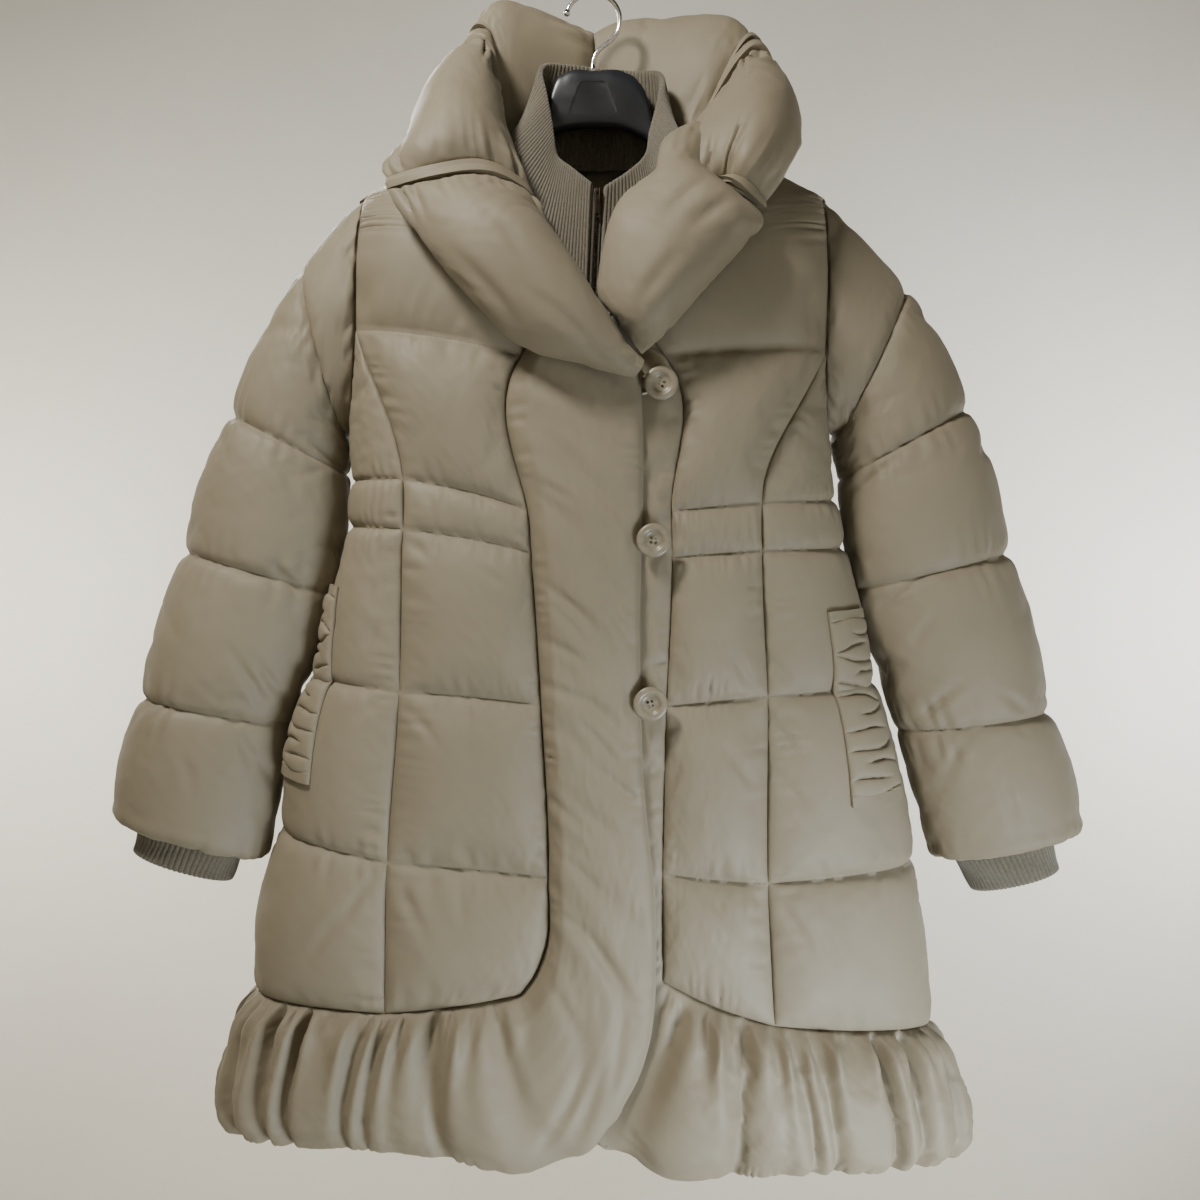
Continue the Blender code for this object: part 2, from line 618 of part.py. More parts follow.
# Height of the hem's lowest line, by turn from the centre front round to the back.
HEM_BOTTOM = {
    "right": Table("turn z", (0.000, -0.9700), (0.040, -0.9790), (0.085, -0.9960),
                   (0.120, -0.9940), (0.190, -0.9880), (0.250, -0.9990), (0.500, -1.0050)),
    "left": Table("turn z", (0.000, -0.9720), (0.040, -0.9760), (0.090, -0.9970),
                  (0.150, -1.0020), (0.200, -1.0060), (0.250, -1.0160), (0.500, -1.0050)),
}
# Profile of the balloon hem: share of its drop, how far it stands off the coat's form, and how
# strongly it is gathered there.
BALLOON = Table(
    "part   drop   out    gather",
    (0.00, 0.000, 0.000, 0.0),
    (0.14, 0.130, 0.009, 1.0),
    (0.36, 0.380, 0.014, 0.8),
    (0.62, 0.700, 0.013, 0.5),
    (0.86, 0.930, 0.006, 0.4),
    (0.965, 1.000, -0.008, 0.3),
    (1.00, 0.965, -0.024, 0.0),
)
STRIP_PARTS = BALLOON.column("part")    # places across a band, from its seam to its edge
GATHER_DEPTH = 0.0065
FRONT_GATHERS = 11
BACK_GATHERS = 17
BAND_LIFT = 0.0056          # the overlap's inner face lies this far off the underlap's
BAND_WALL = {"right": 0.0032, "left": 0.0034}
BAND_FULL = {"right": 0.0022, "left": 0.0006}
CORNER_LEAD = {"right": 0.068, "left": 0.062}    # how far the hem's corner runs ahead of its seam
CORNER_SHARE = 0.22         # share of the hem seam over which the corner catches up
HEM_SETTLE = {"right": (0.04, 0.15), "left": (0.06, 0.16)}   # where the balloon swells to full


def along(points, part):
    """Places along a chain of points, straight between them."""
    lengths = np.concatenate([[0], np.cumsum(np.linalg.norm(np.diff(points, axis=0), axis=1))])
    where = part * lengths[-1]
    return np.stack([np.interp(where, lengths, points[:, k]) for k in range(3)], -1)


def gather_wave(count, place):
    """Uneven folds: a wave whose spacing and strength drift along the seam."""
    drift = 0.12 * np.sin(0.9 * place * count) + 0.09 * np.sin(1.7 * place * count + 1)
    strength = 0.75 + 0.25 * np.sin(1.3 * place * count + 0.6)
    return np.sin(2 * np.pi * (count * place + drift)) * strength


def point_turn(points):
    """Turn of points that lie on or near the body's form."""
    middle_x, middle_y, _, _, _ = section(points[..., 2])
    return np.arctan2(points[..., 0] - middle_x, middle_y - points[..., 1]) / (2 * np.pi)


def hem_grid(side, seam_outer, seam_inner, gathers):
    """The balloon hem: a row at each place along the hem seam, from the seam down and under."""
    count = 4 * gathers + 1
    place = np.linspace(0, 1, count)
    top_outer, top_inner = along(seam_outer, place), along(seam_inner, place)
    turn = point_turn(top_inner)
    lead, lift = 0 * place, 0 * place
    settle = np.clip(np.minimum(place, 1 - place) / 0.02, 0.3, 1)
    if side == "back":
        turn = np.where(turn < 0, turn + 1, turn)
        bottom = np.where(turn < 0.5, HEM_BOTTOM["left"].at("z", turn),
                          HEM_BOTTOM["right"].at("z", 1 - turn))
    else:
        corner = (1 - np.clip(place / CORNER_SHARE, 0, 1)) ** 1.5
        lead = -SIGN[side] * CORNER_LEAD[side] * corner
        start, full = HEM_SETTLE[side]
        settle = np.clip((place - start) / (full - start), 0, 1)
        settle = settle * np.clip((1 - place) / 0.02, 0.3, 1)
        lift = BAND_LIFT * (1 - np.clip((place - 0.04) / 0.12, 0, 1)) * (side == "right")
    wave = gather_wave(gathers, place)
    outer, inner = [], []
    for part in STRIP_PARTS:
        if part == 0:
            outer.append(top_outer)
            inner.append(top_inner)
            continue
        drop, out = float(BALLOON.at("drop", part)), float(BALLOON.at("out", part))
        gather = GATHER_DEPTH * float(BALLOON.at("gather", part)) * settle
        shifted = turn
        if side != "back":
            top_x = top_inner[:, 0]
            shifted = turn_at_x(top_x + lead * drop, top_inner[:, 2])
            shifted = np.where(place < CORNER_SHARE, shifted, turn)
            bottom = HEM_BOTTOM[side].at("z", np.abs(shifted))
        z = top_inner[:, 2] + (bottom - top_inner[:, 2]) * drop
        base = body_point(shifted, z)
        normal = unit(body_normal(shifted, np.maximum(z, -0.93)) * (1, 1, 0))
        rise = lift * min(part / 0.14, 1.0) + out * settle
        under = 1.0 if part < 0.9 else 0.25
        outer.append(base + normal * (rise + SEAM_WALL + gather * wave)[:, None])
        inner.append(base + normal * (rise - gather * under - 0.0003)[:, None]
                     + (0, 0, 0.0035 if part > 0.9 else 0.0))
    return np.transpose(outer, (1, 0, 2)), np.transpose(inner, (1, 0, 2))


def band_front(side):
    """The placket or underlap: rows from its seam to its edge, from the neckline down."""
    rows = row_places(6)[::-1]
    seam_turn, seam_z = placket_line(side, rows)
    level = np.minimum(seam_z, EDGE_TOP[side] + 0.004 * np.clip(rows - 5, 0, 1))
    low = RUNGS[side]["placket"][1]
    level = np.where(rows < 1, low + (EDGE_HEM_START[side] - low) * (1 - rows), level)
    edge_turn = turn_at_x(FRONT_EDGE[side].at("x", level), level)
    part = STRIP_PARTS
    outer, inner = [], []
    for k, row in enumerate(rows):
        turn = seam_turn[k] + (edge_turn[k] - seam_turn[k]) * part
        z = seam_z[k] + (level[k] - seam_z[k]) * part
        base, normal = body_point(turn, z), body_normal(turn, z)
        rise = BAND_LIFT * np.clip(part / 0.14, 0, 1) * (side == "right")
        full = BAND_FULL[side] * (1 + 0.5 * np.sin(9 * row + 3 * part)) * swell(part, 0.5)
        thick = np.where(part == 0, SEAM_WALL, BAND_WALL[side])
        last = part == 1.0
        outer.append(base + normal * (rise + np.where(last, 0.6 * thick, thick) + full)[:, None])
        inner.append(base + normal * (rise + np.where(last, 0.0008, 0.0))[:, None])
    return np.array(outer), np.array(inner)


def front_band(side, centre, side_panel):
    """Placket or underlap, cut in one with its half of the balloon hem: one long strip."""
    down_outer, down_inner = band_front(side)
    seam_outer = np.concatenate([centre["outer"][0], side_panel["outer"][0]])
    seam_inner = np.concatenate([centre["inner"][0], side_panel["inner"][0]])
    below = (0, 0, -2.5 * EDGE_INSET)
    hem_outer, hem_inner = hem_grid(side, seam_outer + below, seam_inner + below, FRONT_GATHERS)
    outer = np.concatenate([down_outer, hem_outer[1:]])
    inner = np.concatenate([down_inner, hem_inner[1:]])
    outer, inner = pull_edges_in(outer), pull_edges_in(inner)
    hem_rows = [len(down_outer) + k for k in every(len(hem_outer) - 1, 4)]
    kept = list(range(0, len(down_outer), 3)) + hem_rows
    wall("front_band_" + side, outer, inner, kept, [0, 2, 4, 6])
    return {"outer": outer, "inner": inner}


def back_hem(back):
    below = (0, 0, -2.5 * EDGE_INSET)
    outer, inner = hem_grid("back", back["outer"][0] + below, back["inner"][0] + below,
                            BACK_GATHERS)
    outer, inner = pull_edges_in(outer), pull_edges_in(inner)
    wall("hem_back", outer, inner, every(len(outer), 4), [0, 2, 4, 6])


# ---------------------------------------------------------------- shawl collar

# Cross-sections from the front corner round to the centre back: the neck seam (x, z, and whether
# it is behind), the crest where the collar folds over, the middle of its fall, its free edge,
# and its thickness.
COLLAR_NAMES = "row neck_x neck_z behind cx cy cz fx fy fz ex ey ez full"
COLLAR = {
    "right": Table(
        COLLAR_NAMES,
        (0, 0.0340, -0.3500, 0, 0.0390, -0.1330, -0.3515, 0.0370, -0.1350, -0.3570,
         0.0330, -0.1325, -0.3615, 0.006),
        (1, 0.0220, -0.3380, 0, 0.0200, -0.1390, -0.3350, 0.0080, -0.1430, -0.3445,
         -0.0056, -0.1320, -0.3540, 0.011),
        (2, -0.0020, -0.3060, 0, -0.0110, -0.1450, -0.2975, -0.0330, -0.1500, -0.3200,
         -0.0567, -0.1300, -0.3400, 0.018),
        (3, -0.0222, -0.2635, 0, -0.0500, -0.1420, -0.2525, -0.0800, -0.1460, -0.2750,
         -0.1076, -0.1260, -0.2920, 0.024),
        (4, -0.0360, -0.2370, 0, -0.0720, -0.1320, -0.2270, -0.1055, -0.1380, -0.2400,
         -0.1388, -0.1190, -0.2490, 0.020),
        (5, -0.0480, -0.2110, 0, -0.0840, -0.1180, -0.2010, -0.1230, -0.1240, -0.2060,
         -0.1623, -0.1080, -0.2085, 0.0075),
        (6, -0.0510, -0.2030, 0, -0.0850, -0.1130, -0.1900, -0.1250, -0.1190, -0.1960,
         -0.1649, -0.1020, -0.1985, 0.0075),
        (7, -0.0600, -0.1790, 0, -0.0810, -0.1060, -0.1620, -0.1300, -0.1040, -0.1480,
         -0.1760, -0.0680, -0.1560, 0.022),
        (8, -0.0690, -0.1530, 0, -0.0830, -0.0800, -0.1250, -0.1260, -0.0620, -0.1010,
         -0.1660, -0.0150, -0.1420, 0.024),
        (9, -0.0760, -0.1320, 0, -0.0860, -0.0480, -0.0920, -0.1150, -0.0220, -0.0680,
         -0.1520, 0.0240, -0.1160, 0.022),
        (10, -0.0800, -0.1283, 0, -0.0930, -0.0140, -0.0560, -0.1100, 0.0140, -0.0400,
         -0.1340, 0.0440, -0.0880, 0.0075),
        (11, -0.0780, -0.1310, 1, -0.0960, 0.0060, -0.0350, -0.1070, 0.0310, -0.0270,
         -0.1270, 0.0600, -0.0800, 0.0075),
        (12, -0.0600, -0.1320, 1, -0.0840, 0.0220, -0.0130, -0.0880, 0.0520, -0.0100,
         -0.0980, 0.0820, -0.0860, 0.022),
        (13, -0.0300, -0.1320, 1, -0.0460, 0.0400, -0.0150, -0.0470, 0.0680, -0.0120,
         -0.0500, 0.0920, -0.0940, 0.024),
        (14, 0.0000, -0.1320, 1, 0.0010, 0.0480, -0.0240, 0.0010, 0.0720, -0.0210,
         0.0010, 0.0920, -0.0980, 0.010)),
    "left": Table(
        COLLAR_NAMES,
        (0, 0.0190, -0.3010, 0, 0.0150, -0.1190, -0.3060, 0.0270, -0.1215, -0.3240,
         0.0400, -0.1210, -0.3410, 0.005),
        (1, 0.0240, -0.2900, 0, 0.0110, -0.1200, -0.2930, 0.0350, -0.1380, -0.3120,
         0.0630, -0.1260, -0.3230, 0.016),
        (2, 0.0310, -0.2606, 0, 0.0240, -0.1180, -0.2420, 0.0560, -0.1420, -0.2760,
         0.0900, -0.1260, -0.2960, 0.024),
        (3, 0.0420, -0.2370, 0, 0.0400, -0.1060, -0.2130, 0.0820, -0.1380, -0.2440,
         0.1237, -0.1210, -0.2570, 0.024),
        (4, 0.0540, -0.2103, 0, 0.0680, -0.1080, -0.1970, 0.1040, -0.1240, -0.2090,
         0.1370, -0.1100, -0.2230, 0.0075),
        (5, 0.0570, -0.2030, 0, 0.0700, -0.1030, -0.1870, 0.1080, -0.1180, -0.1990,
         0.1400, -0.1040, -0.2140, 0.0075),
        (6, 0.0670, -0.1790, 0, 0.0860, -0.0980, -0.1540, 0.1340, -0.1030, -0.1680,
         0.1740, -0.0720, -0.1710, 0.024),
        (7, 0.0780, -0.1550, 0, 0.1060, -0.0740, -0.1240, 0.1500, -0.0680, -0.1120,
         0.1800, -0.0160, -0.1500, 0.026),
        (8, 0.0850, -0.1390, 0, 0.1180, -0.0420, -0.0960, 0.1480, -0.0280, -0.0740,
         0.1740, 0.0200, -0.1160, 0.022),
        (9, 0.0900, -0.1334, 0, 0.1330, -0.0080, -0.0640, 0.1520, 0.0120, -0.0490,
         0.1680, 0.0420, -0.0910, 0.0075),
        (10, 0.0880, -0.1350, 1, 0.1330, 0.0080, -0.0450, 0.1460, 0.0300, -0.0350,
         0.1580, 0.0600, -0.0820, 0.0075),
        (11, 0.0760, -0.1330, 1, 0.1180, 0.0220, -0.0260, 0.1220, 0.0530, -0.0210,
         0.1280, 0.0820, -0.0880, 0.022),
        (12, 0.0520, -0.1320, 1, 0.0720, 0.0380, -0.0190, 0.0740, 0.0670, -0.0150,
         0.0760, 0.0910, -0.0940, 0.024),
        (13, 0.0240, -0.1320, 1, 0.0320, 0.0460, -0.0190, 0.0320, 0.0710, -0.0160,
         0.0340, 0.0920, -0.0970, 0.022),
        (14, 0.0000, -0.1320, 1, 0.0010, 0.0480, -0.0240, 0.0010, 0.0720, -0.0210,
         0.0010, 0.0920, -0.0980, 0.010)),
}
# Each piece of the collar: first and last section, and how many rows lie between two sections.
COLLAR_PIECES = {
    "right": (("collar_lapel", 0, 5, 2), ("collar_strap_front", 5, 6, 1),
              ("collar_upper", 6, 10, 2), ("collar_strap_back", 10, 11, 1),
              ("collar_back", 11, 14, 2)),
    "left": (("collar_lapel", 0, 4, 2), ("collar_strap_front", 4, 5, 1),
             ("collar_upper", 5, 9, 2), ("collar_strap_back", 9, 10, 1),
             ("collar_back", 10, 14, 2)),
}
COLLAR_LAST = 14            # the section at the centre back seam
COLLAR_COLUMNS = 17
COLLAR_SEAM_EDGE = 0.004    # thickness at the neck seam
COLLAR_FREE_EDGE = 0.006    # thickness at the free edge
COLLAR_SEAT = 0.0005        # the neck seam's clearance over the panels
COLLAR_OVER_BAND = 0.0100   # more clearance where the right lapel crosses the placket
STRAP_FULL = 0.0075
STRAP_GAP = 0.0004
COLLAR_GATHERS = 4
COLLAR_GATHER_DEPTH = 0.0035


def collar_section(side, row, part):
    """Middle line of the collar's cross-section from the neck seam over the crest to the edge."""
    table = COLLAR[side]
    x, z = float(table.at("neck_x", row)), float(table.at("neck_z", row))
    behind = table.at("behind", row) > 0.5
    z = min(z, float(shoulder_z(x)) - 0.0002)
    turn = turn_at_x(x, z, back=behind)
    seat = SEAM_WALL + COLLAR_SEAM_EDGE / 2 + COLLAR_SEAT
    if side == "right":
        seat += COLLAR_OVER_BAND * float(np.clip(2.6 - row, 0, 1))
    neck = body_point(turn, z) + body_normal(turn, z) * seat
    knots = np.array([0.0, 0.34, 0.66, 1.0])
    points = np.array([neck] + [table.vector(name, row) for name in "cfe"])
    return np.stack([smooth_between(knots, points[:, k], part) for k in range(3)], -1)


def collar_piece(side, name, first, last, rows_between):
    strap = "strap" in name
    rows = np.linspace(first, last, (last - first) * rows_between + 1)
    part = np.linspace(0, 1, COLLAR_COLUMNS)
    middle = np.array([collar_section(side, row, part) for row in rows])
    across = np.gradient(middle, axis=1)
    step = 0.02
    forward = np.array([collar_section(side, row + step, part)
                        - collar_section(side, row - step, part) for row in rows])
    if last == COLLAR_LAST:
        forward[-1] = (-SIGN[side], 0, 0)
    forward = unit(forward.mean(1, keepdims=True))
    normal = unit(np.cross(across, forward)) * SIGN[side]
    crown = (4 * part * (1 - part)) ** 0.45
    edge = COLLAR_SEAM_EDGE + (COLLAR_FREE_EDGE - COLLAR_SEAM_EDGE) * part
    full = np.full(len(rows), STRAP_FULL) if strap else COLLAR[side].at("full", rows)
    thick = edge + (full[:, None] - edge) * crown
    ripple = 0 * thick
    if not strap:
        away = last - rows if name == "collar_lapel" else np.minimum(rows - first, last - rows)
        near = np.exp(-away / 0.6) * (away > 0)
        ripple = (COLLAR_GATHER_DEPTH * near[:, None] * np.sin(np.pi * part) ** 0.5
                  * np.sin(2 * np.pi * COLLAR_GATHERS * part))
    middle[0] += STRAP_GAP * forward[0]
    middle[-1] -= STRAP_GAP * forward[-1]
    outer = middle + normal * (thick / 2 + ripple)[..., None]
    inner = middle - normal * (thick / 2)[..., None]
    wall(name + "_" + side, outer, inner, list(range(0, len(rows), rows_between)),
         every(COLLAR_COLUMNS, 2))


# ---------------------------------------------------------------- rib collar and its zip

# The knit funnel from one zip edge round the neck to the other: its top edge and its base, which
# lies a little inside the body's inner face ("seat").
FUNNEL = Table(
    "part tx ty tz bx bz behind seat",
    (0.00, -0.0003, -0.085, -0.1945, -0.0060, -0.3280, 0, 0.0036),
    (0.07, -0.0170, -0.075, -0.1790, -0.0270, -0.2620, 0, 0.0036),
    (0.15, -0.0298, -0.060, -0.1636, -0.0490, -0.2160, 0, 0.0036),
    (0.23, -0.0350, -0.042, -0.1316, -0.0640, -0.1760, 0, 0.0056),
    (0.31, -0.0400, -0.022, -0.0979, -0.0770, -0.1430, 0, 0.0090),
    (0.38, -0.0450, -0.003, -0.0640, -0.0710, -0.1345, 1, 0.0090),
    (0.45, -0.0219, 0.012, -0.0570, -0.0370, -0.1385, 1, 0.0140),
    (0.52, 0.0080, 0.018, -0.0580, 0.0050, -0.1400, 1, 0.0110),
    (0.59, 0.0379, 0.012, -0.0630, 0.0410, -0.1385, 1, 0.0140),
    (0.66, 0.0600, -0.003, -0.0710, 0.0740, -0.1380, 1, 0.0105),
    (0.73, 0.0560, -0.022, -0.1040, 0.0830, -0.1460, 0, 0.0090),
    (0.80, 0.0487, -0.044, -0.1383, 0.0710, -0.1770, 0, 0.0066),
    (0.87, 0.0439, -0.060, -0.1636, 0.0560, -0.2140, 0, 0.0052),
    (0.94, 0.0294, -0.074, -0.1818, 0.0370, -0.2580, 0, 0.0036),
    (1.00, 0.0098, -0.085, -0.1970, 0.0030, -0.3280, 0, 0.0036),
)
FUNNEL_RIBS = 60
FUNNEL_WALL = 0.0030
FUNNEL_RIB_HEIGHT = 0.0008


def funnel_seat():
    """The funnel's base: at each of its sections, just inside the body's inner face."""
    seats = []
    for row in FUNNEL.rows:
        x, z, behind, seat = row[4:8]
        turn = turn_at_x(x, z, back=behind > 0)
        seats.append(body_point(turn, z) - body_normal(turn, z) * seat)
    return np.array(seats)


def funnel_point(part, down):
    top = FUNNEL.vector("t", part)
    base = np.stack([smooth_between(FUNNEL.rows[:, 0], axis, part) for axis in funnel_seat().T], -1)
    return top + (base - top) * np.asarray(down)[..., None]


def rib_collar():
    count = 2 * FUNNEL_RIBS + 1
    part = np.linspace(0, 1, count)
    ridge = np.where(np.arange(count) % 2 == 0, FUNNEL_RIB_HEIGHT, 0.0)
    outer, inner = [], []
    for down in (0.0, 0.05, 0.52, 1.0):
        middle = funnel_point(part, np.full(count, down))
        along_edge = np.gradient(middle, axis=0)
        drop = funnel_point(part, np.full(count, 1.0)) - funnel_point(part, np.full(count, 0.0))
        normal = unit(np.cross(along_edge, drop))
        half = (0.3 if down == 0 else 0.5) * FUNNEL_WALL
        outer.append(middle + normal * (half + ridge)[:, None])
        inner.append(middle - normal * (half + ridge)[:, None])
    wall("rib_collar", np.array(outer), np.array(inner), [0, 1, 2, 3], list(range(count)),
         "rib_knit")


SLIDER = (0.0066, 0.0050, 0.0130)   # width, depth, height of the zip's slider
SLIDER_TOP_Z = -0.1995
LUG = (0.0016, 0.0030, 0.0040)      # the ear that carries the pull
PULL = (0.0046, 0.0014, 0.0220)
PULL_SLOT = 0.0024
HINGE_CLEAR = 0.0024                # hinge axis in front of the slider's face
ZIP_GAP = 0.0015                    # between the knit's edge line and the zip


def zip_edges(z):
    """The knit's two front edges at a height."""
    edges = []
    for part in (0.0, 1.0):
        top, base = funnel_point(part, 0.0), funnel_point(part, 1.0)
        edges.append(top + (base - top) * (z - top[2]) / (base[2] - top[2]))
    return edges


def zip_line(z):
    return sum(zip_edges(z)) / 2


def zip_chain():
    """Tapes and teeth as one ribbon, raised along its middle."""
    heights = np.linspace(SLIDER_TOP_Z - SLIDER[2] - 0.0004, -0.3240, 8)
    share = np.array([0.0, 0.30, 0.34, 0.66, 0.70, 1.0])
    rise = np.array([0.0005, 0.0005, 0.0012, 0.0012, 0.0005, 0.0005])
    outer, inner = [], []
    for z in heights:
        right, left = zip_edges(z)
        gap = unit(left - right) * ZIP_GAP
        line = (right + gap) + (left - right - 2 * gap) * share[:, None]
        outer.append(line - np.array([0, 1, 0]) * rise[:, None])
        inner.append(line + np.array([0, 1, 0]) * rise[:, None])
    wall("zip_chain", np.array(outer), np.array(inner), [0, 7], list(range(6)), "zip_metal")


def box(low, high, name=None, look=None):
    corners = [(x, y, z) for x in (low[0], high[0]) for y in (low[1], high[1])
               for z in (low[2], high[2])]
    faces = [(0, 1, 3, 2), (4, 6, 7, 5), (0, 4, 5, 1), (2, 3, 7, 6), (0, 2, 6, 4), (1, 5, 7, 3)]
    return add_object(name, corners, faces, look)


def join_solids(target, tool):
    """Boolean union of two objects, applied, with the tool removed."""
    union = target.modifiers.new("join", "BOOLEAN")
    union.operation = "UNION"
    union.object = tool
    shaped = bpy.data.meshes.new_from_object(
        target.evaluated_get(bpy.context.evaluated_depsgraph_get()))
    target.modifiers.clear()
    target.data = shaped
    bpy.data.objects.remove(tool, do_unlink=True)


def hinge_place():
    centre = zip_line(SLIDER_TOP_Z - SLIDER[2] / 2)
    return np.array([centre[0], centre[1] - SLIDER[1] / 2 - HINGE_CLEAR,
                     SLIDER_TOP_Z - 0.0035])


def zip_slider():
    centre = zip_line(SLIDER_TOP_Z - SLIDER[2] / 2)
    hinge = hinge_place()
    half = np.array(SLIDER) / 2
    body = box(centre - half, centre + half, "zip_slider", "zip_metal")
    front = centre[1] - half[1]
    lug = box((hinge[0] - LUG[0] / 2, hinge[1] - 0.0010, hinge[2] - LUG[2] / 2),
              (hinge[0] + LUG[0] / 2, front + 0.0010, hinge[2] + LUG[2] / 2), "lug", "zip_metal")
    join_solids(body, lug)


def zip_pull():
    """Flat tab with a slot at its top that straddles the slider's ear."""
    hinge = hinge_place()
    half_x, half_y = PULL[0] / 2, PULL[1] / 2
    slot = PULL_SLOT / 2
    top, low = 0.0020, -PULL[2]
    outline = [(-half_x, low), (half_x, low), (half_x, top), (slot, top), (slot, -0.0030),
               (-slot, -0.0030), (-slot, top), (-half_x, top)]
    count = len(outline)
    corners = [hinge + (x, y, z) for y in (-half_y, half_y) for x, z in outline]
    faces = [list(range(count)), list(range(2 * count - 1, count - 1, -1))]
    faces += [(k, k + count, (k + 1) % count + count, (k + 1) % count) for k in range(count)]
    add_object("zip_pull", corners, faces, "zip_metal")


# ---------------------------------------------------------------- buttons, loops and pockets

BUTTONS = ((0.0545, -0.3647), (0.0482, -0.4890), (0.0458, -0.6172))
BUTTON_RADIUS = 0.0135
BUTTON_SEGMENTS = 18
BUTTON_BACK = 0.0140        # the button's back lies this far off the coat's form
SHANK_RADIUS = 0.0022
# Turned profile of a button: radius, and height over its back.
BUTTON_PROFILE = ((0.0110, 0.0000), (0.0135, 0.0016), (0.0135, 0.0036), (0.0118, 0.0046),
                  (0.0092, 0.0034), (0.0, 0.0030))
LOOP_RADIUS = 0.0011
LOOP_OFF = 0.0078           # the loop's middle line lies this far off the coat's form
LOOP_SPREAD = 0.0070


def front_y(x, z):
    return float(body_point(turn_at_x(x, z), z)[1])


def button(number, x, z):
    seat = front_y(x, z) - BAND_WALL["left"] - BAND_FULL["left"] * 1.5 - 0.0003
    back = front_y(x, z) - BUTTON_BACK
    profile = [(0.0, seat), (SHANK_RADIUS, seat), (SHANK_RADIUS, back)]
    profile += [(radius, back - height) for radius, height in BUTTON_PROFILE]
    vertices, rings = [], []
    for radius, y in profile:
        count = 1 if radius == 0 else BUTTON_SEGMENTS
        angles = 2 * np.pi * np.arange(count) / count
        rings.append(list(range(len(vertices), len(vertices) + count)))
        vertices += [(x + radius * math.cos(a), y, z + radius * math.sin(a)) for a in angles]
    faces = []
    for low, high in zip(rings, rings[1:]):
        for k in range(BUTTON_SEGMENTS):
            after = (k + 1) % BUTTON_SEGMENTS
            if len(low) == 1:
                faces.append((low[0], high[k], high[after]))
            elif len(high) == 1:
                faces.append((low[k], high[0], low[after]))
            else:
                faces.append((low[k], high[k], high[after], low[after]))
    add_object(f"button_{number}", vertices, faces, "button")


def tube(name, path, radius, look, sides=8):
    """Round solid along a path, with flat ends; radius is one value or one per point."""
    path = np.array(path, float)
    heading = unit(np.gradient(path, axis=0))
    side_way = unit(np.cross(heading, (0, 1, 0)))
    other = np.cross(heading, side_way)
    radii = np.broadcast_to(radius, len(path))
    angles = 2 * np.pi * np.arange(sides) / sides
    rings = [point + r * (np.cos(angles)[:, None] * a + np.sin(angles)[:, None] * b)
             for point, r, a, b in zip(path, radii, side_way, other)]
    vertices = np.concatenate(rings)
    faces = [(k * sides + j, k * sides + (j + 1) % sides, (k + 1) * sides + (j + 1) % sides,
              (k + 1) * sides + j) for k in range(len(path) - 1) for j in range(sides)]
    faces += [list(range(sides)), list(range(len(vertices) - 1, len(vertices) - sides - 1, -1))]
    add_object(name, vertices, faces, look)


def elastic_loop(number, x, z, band):
    """U of elastic from the front edge round the button's shank."""
    rows = len(row_places(6))
    edge = np.concatenate([band["outer"][:rows, -1], band["inner"][:rows, -1]])
    near = edge[np.argsort(edge[:, 2])]
    heights = np.linspace(z - LOOP_SPREAD, z + LOOP_SPREAD, 5)
    edge_x = float(np.interp(heights, near[:, 2], near[:, 0]).max()) + 0.0008
    bend = SHANK_RADIUS + LOOP_RADIUS + 0.0008
    turns = np.linspace(np.pi / 2, -np.pi / 2, 6)
    arc = [(x + bend * math.cos(a), z + bend * math.sin(a)) for a in turns]
    middle_x = (edge_x + x) / 2
    run = [(edge_x, z + LOOP_SPREAD), (middle_x, z + (LOOP_SPREAD + bend) / 2)] + arc
    run += [(middle_x, z - (LOOP_SPREAD + bend) / 2), (edge_x, z - LOOP_SPREAD)]
    y = front_y(x, z) - LOOP_OFF
    tube(f"loop_{number}", [(px, y, pz) for px, pz in run], LOOP_RADIUS, "loop", 6)


# Pocket welts on the side fronts: quilting rows and shares across at their corners.
POCKET = {
    "right": {"rows": (2.60, 1.38), "top": (0.56, 0.80), "bottom": (0.50, 0.80)},
    "left": {"rows": (2.55, 1.38), "top": (0.42, 0.74), "bottom": (0.46, 0.76)},
}
POCKET_FOLDS = 9
POCKET_WALL = 0.0034
POCKET_FOLD_HEIGHT = 0.0030
POCKET_SEAT = 0.0013


def on_grid(grid, rows, columns, row, column):
    """Point of a panel's outer face, on its own triangles, at a row and a share across."""
    r = np.clip(np.searchsorted(rows, row, side="right") - 1, 0, len(rows) - 2)
    c = np.clip(np.searchsorted(columns, column, side="right") - 1, 0, len(columns) - 2)
    u = (row - rows[r]) / (rows[r + 1] - rows[r])
    v = (column - columns[c]) / (columns[c + 1] - columns[c])
    start, end = grid[r, c], grid[r + 1, c + 1]
    if u < v:
        return start + v * (grid[r, c + 1] - start) + u * (end - grid[r, c + 1])
    return start + u * (grid[r + 1, c] - start) + v * (end - grid[r + 1, c])


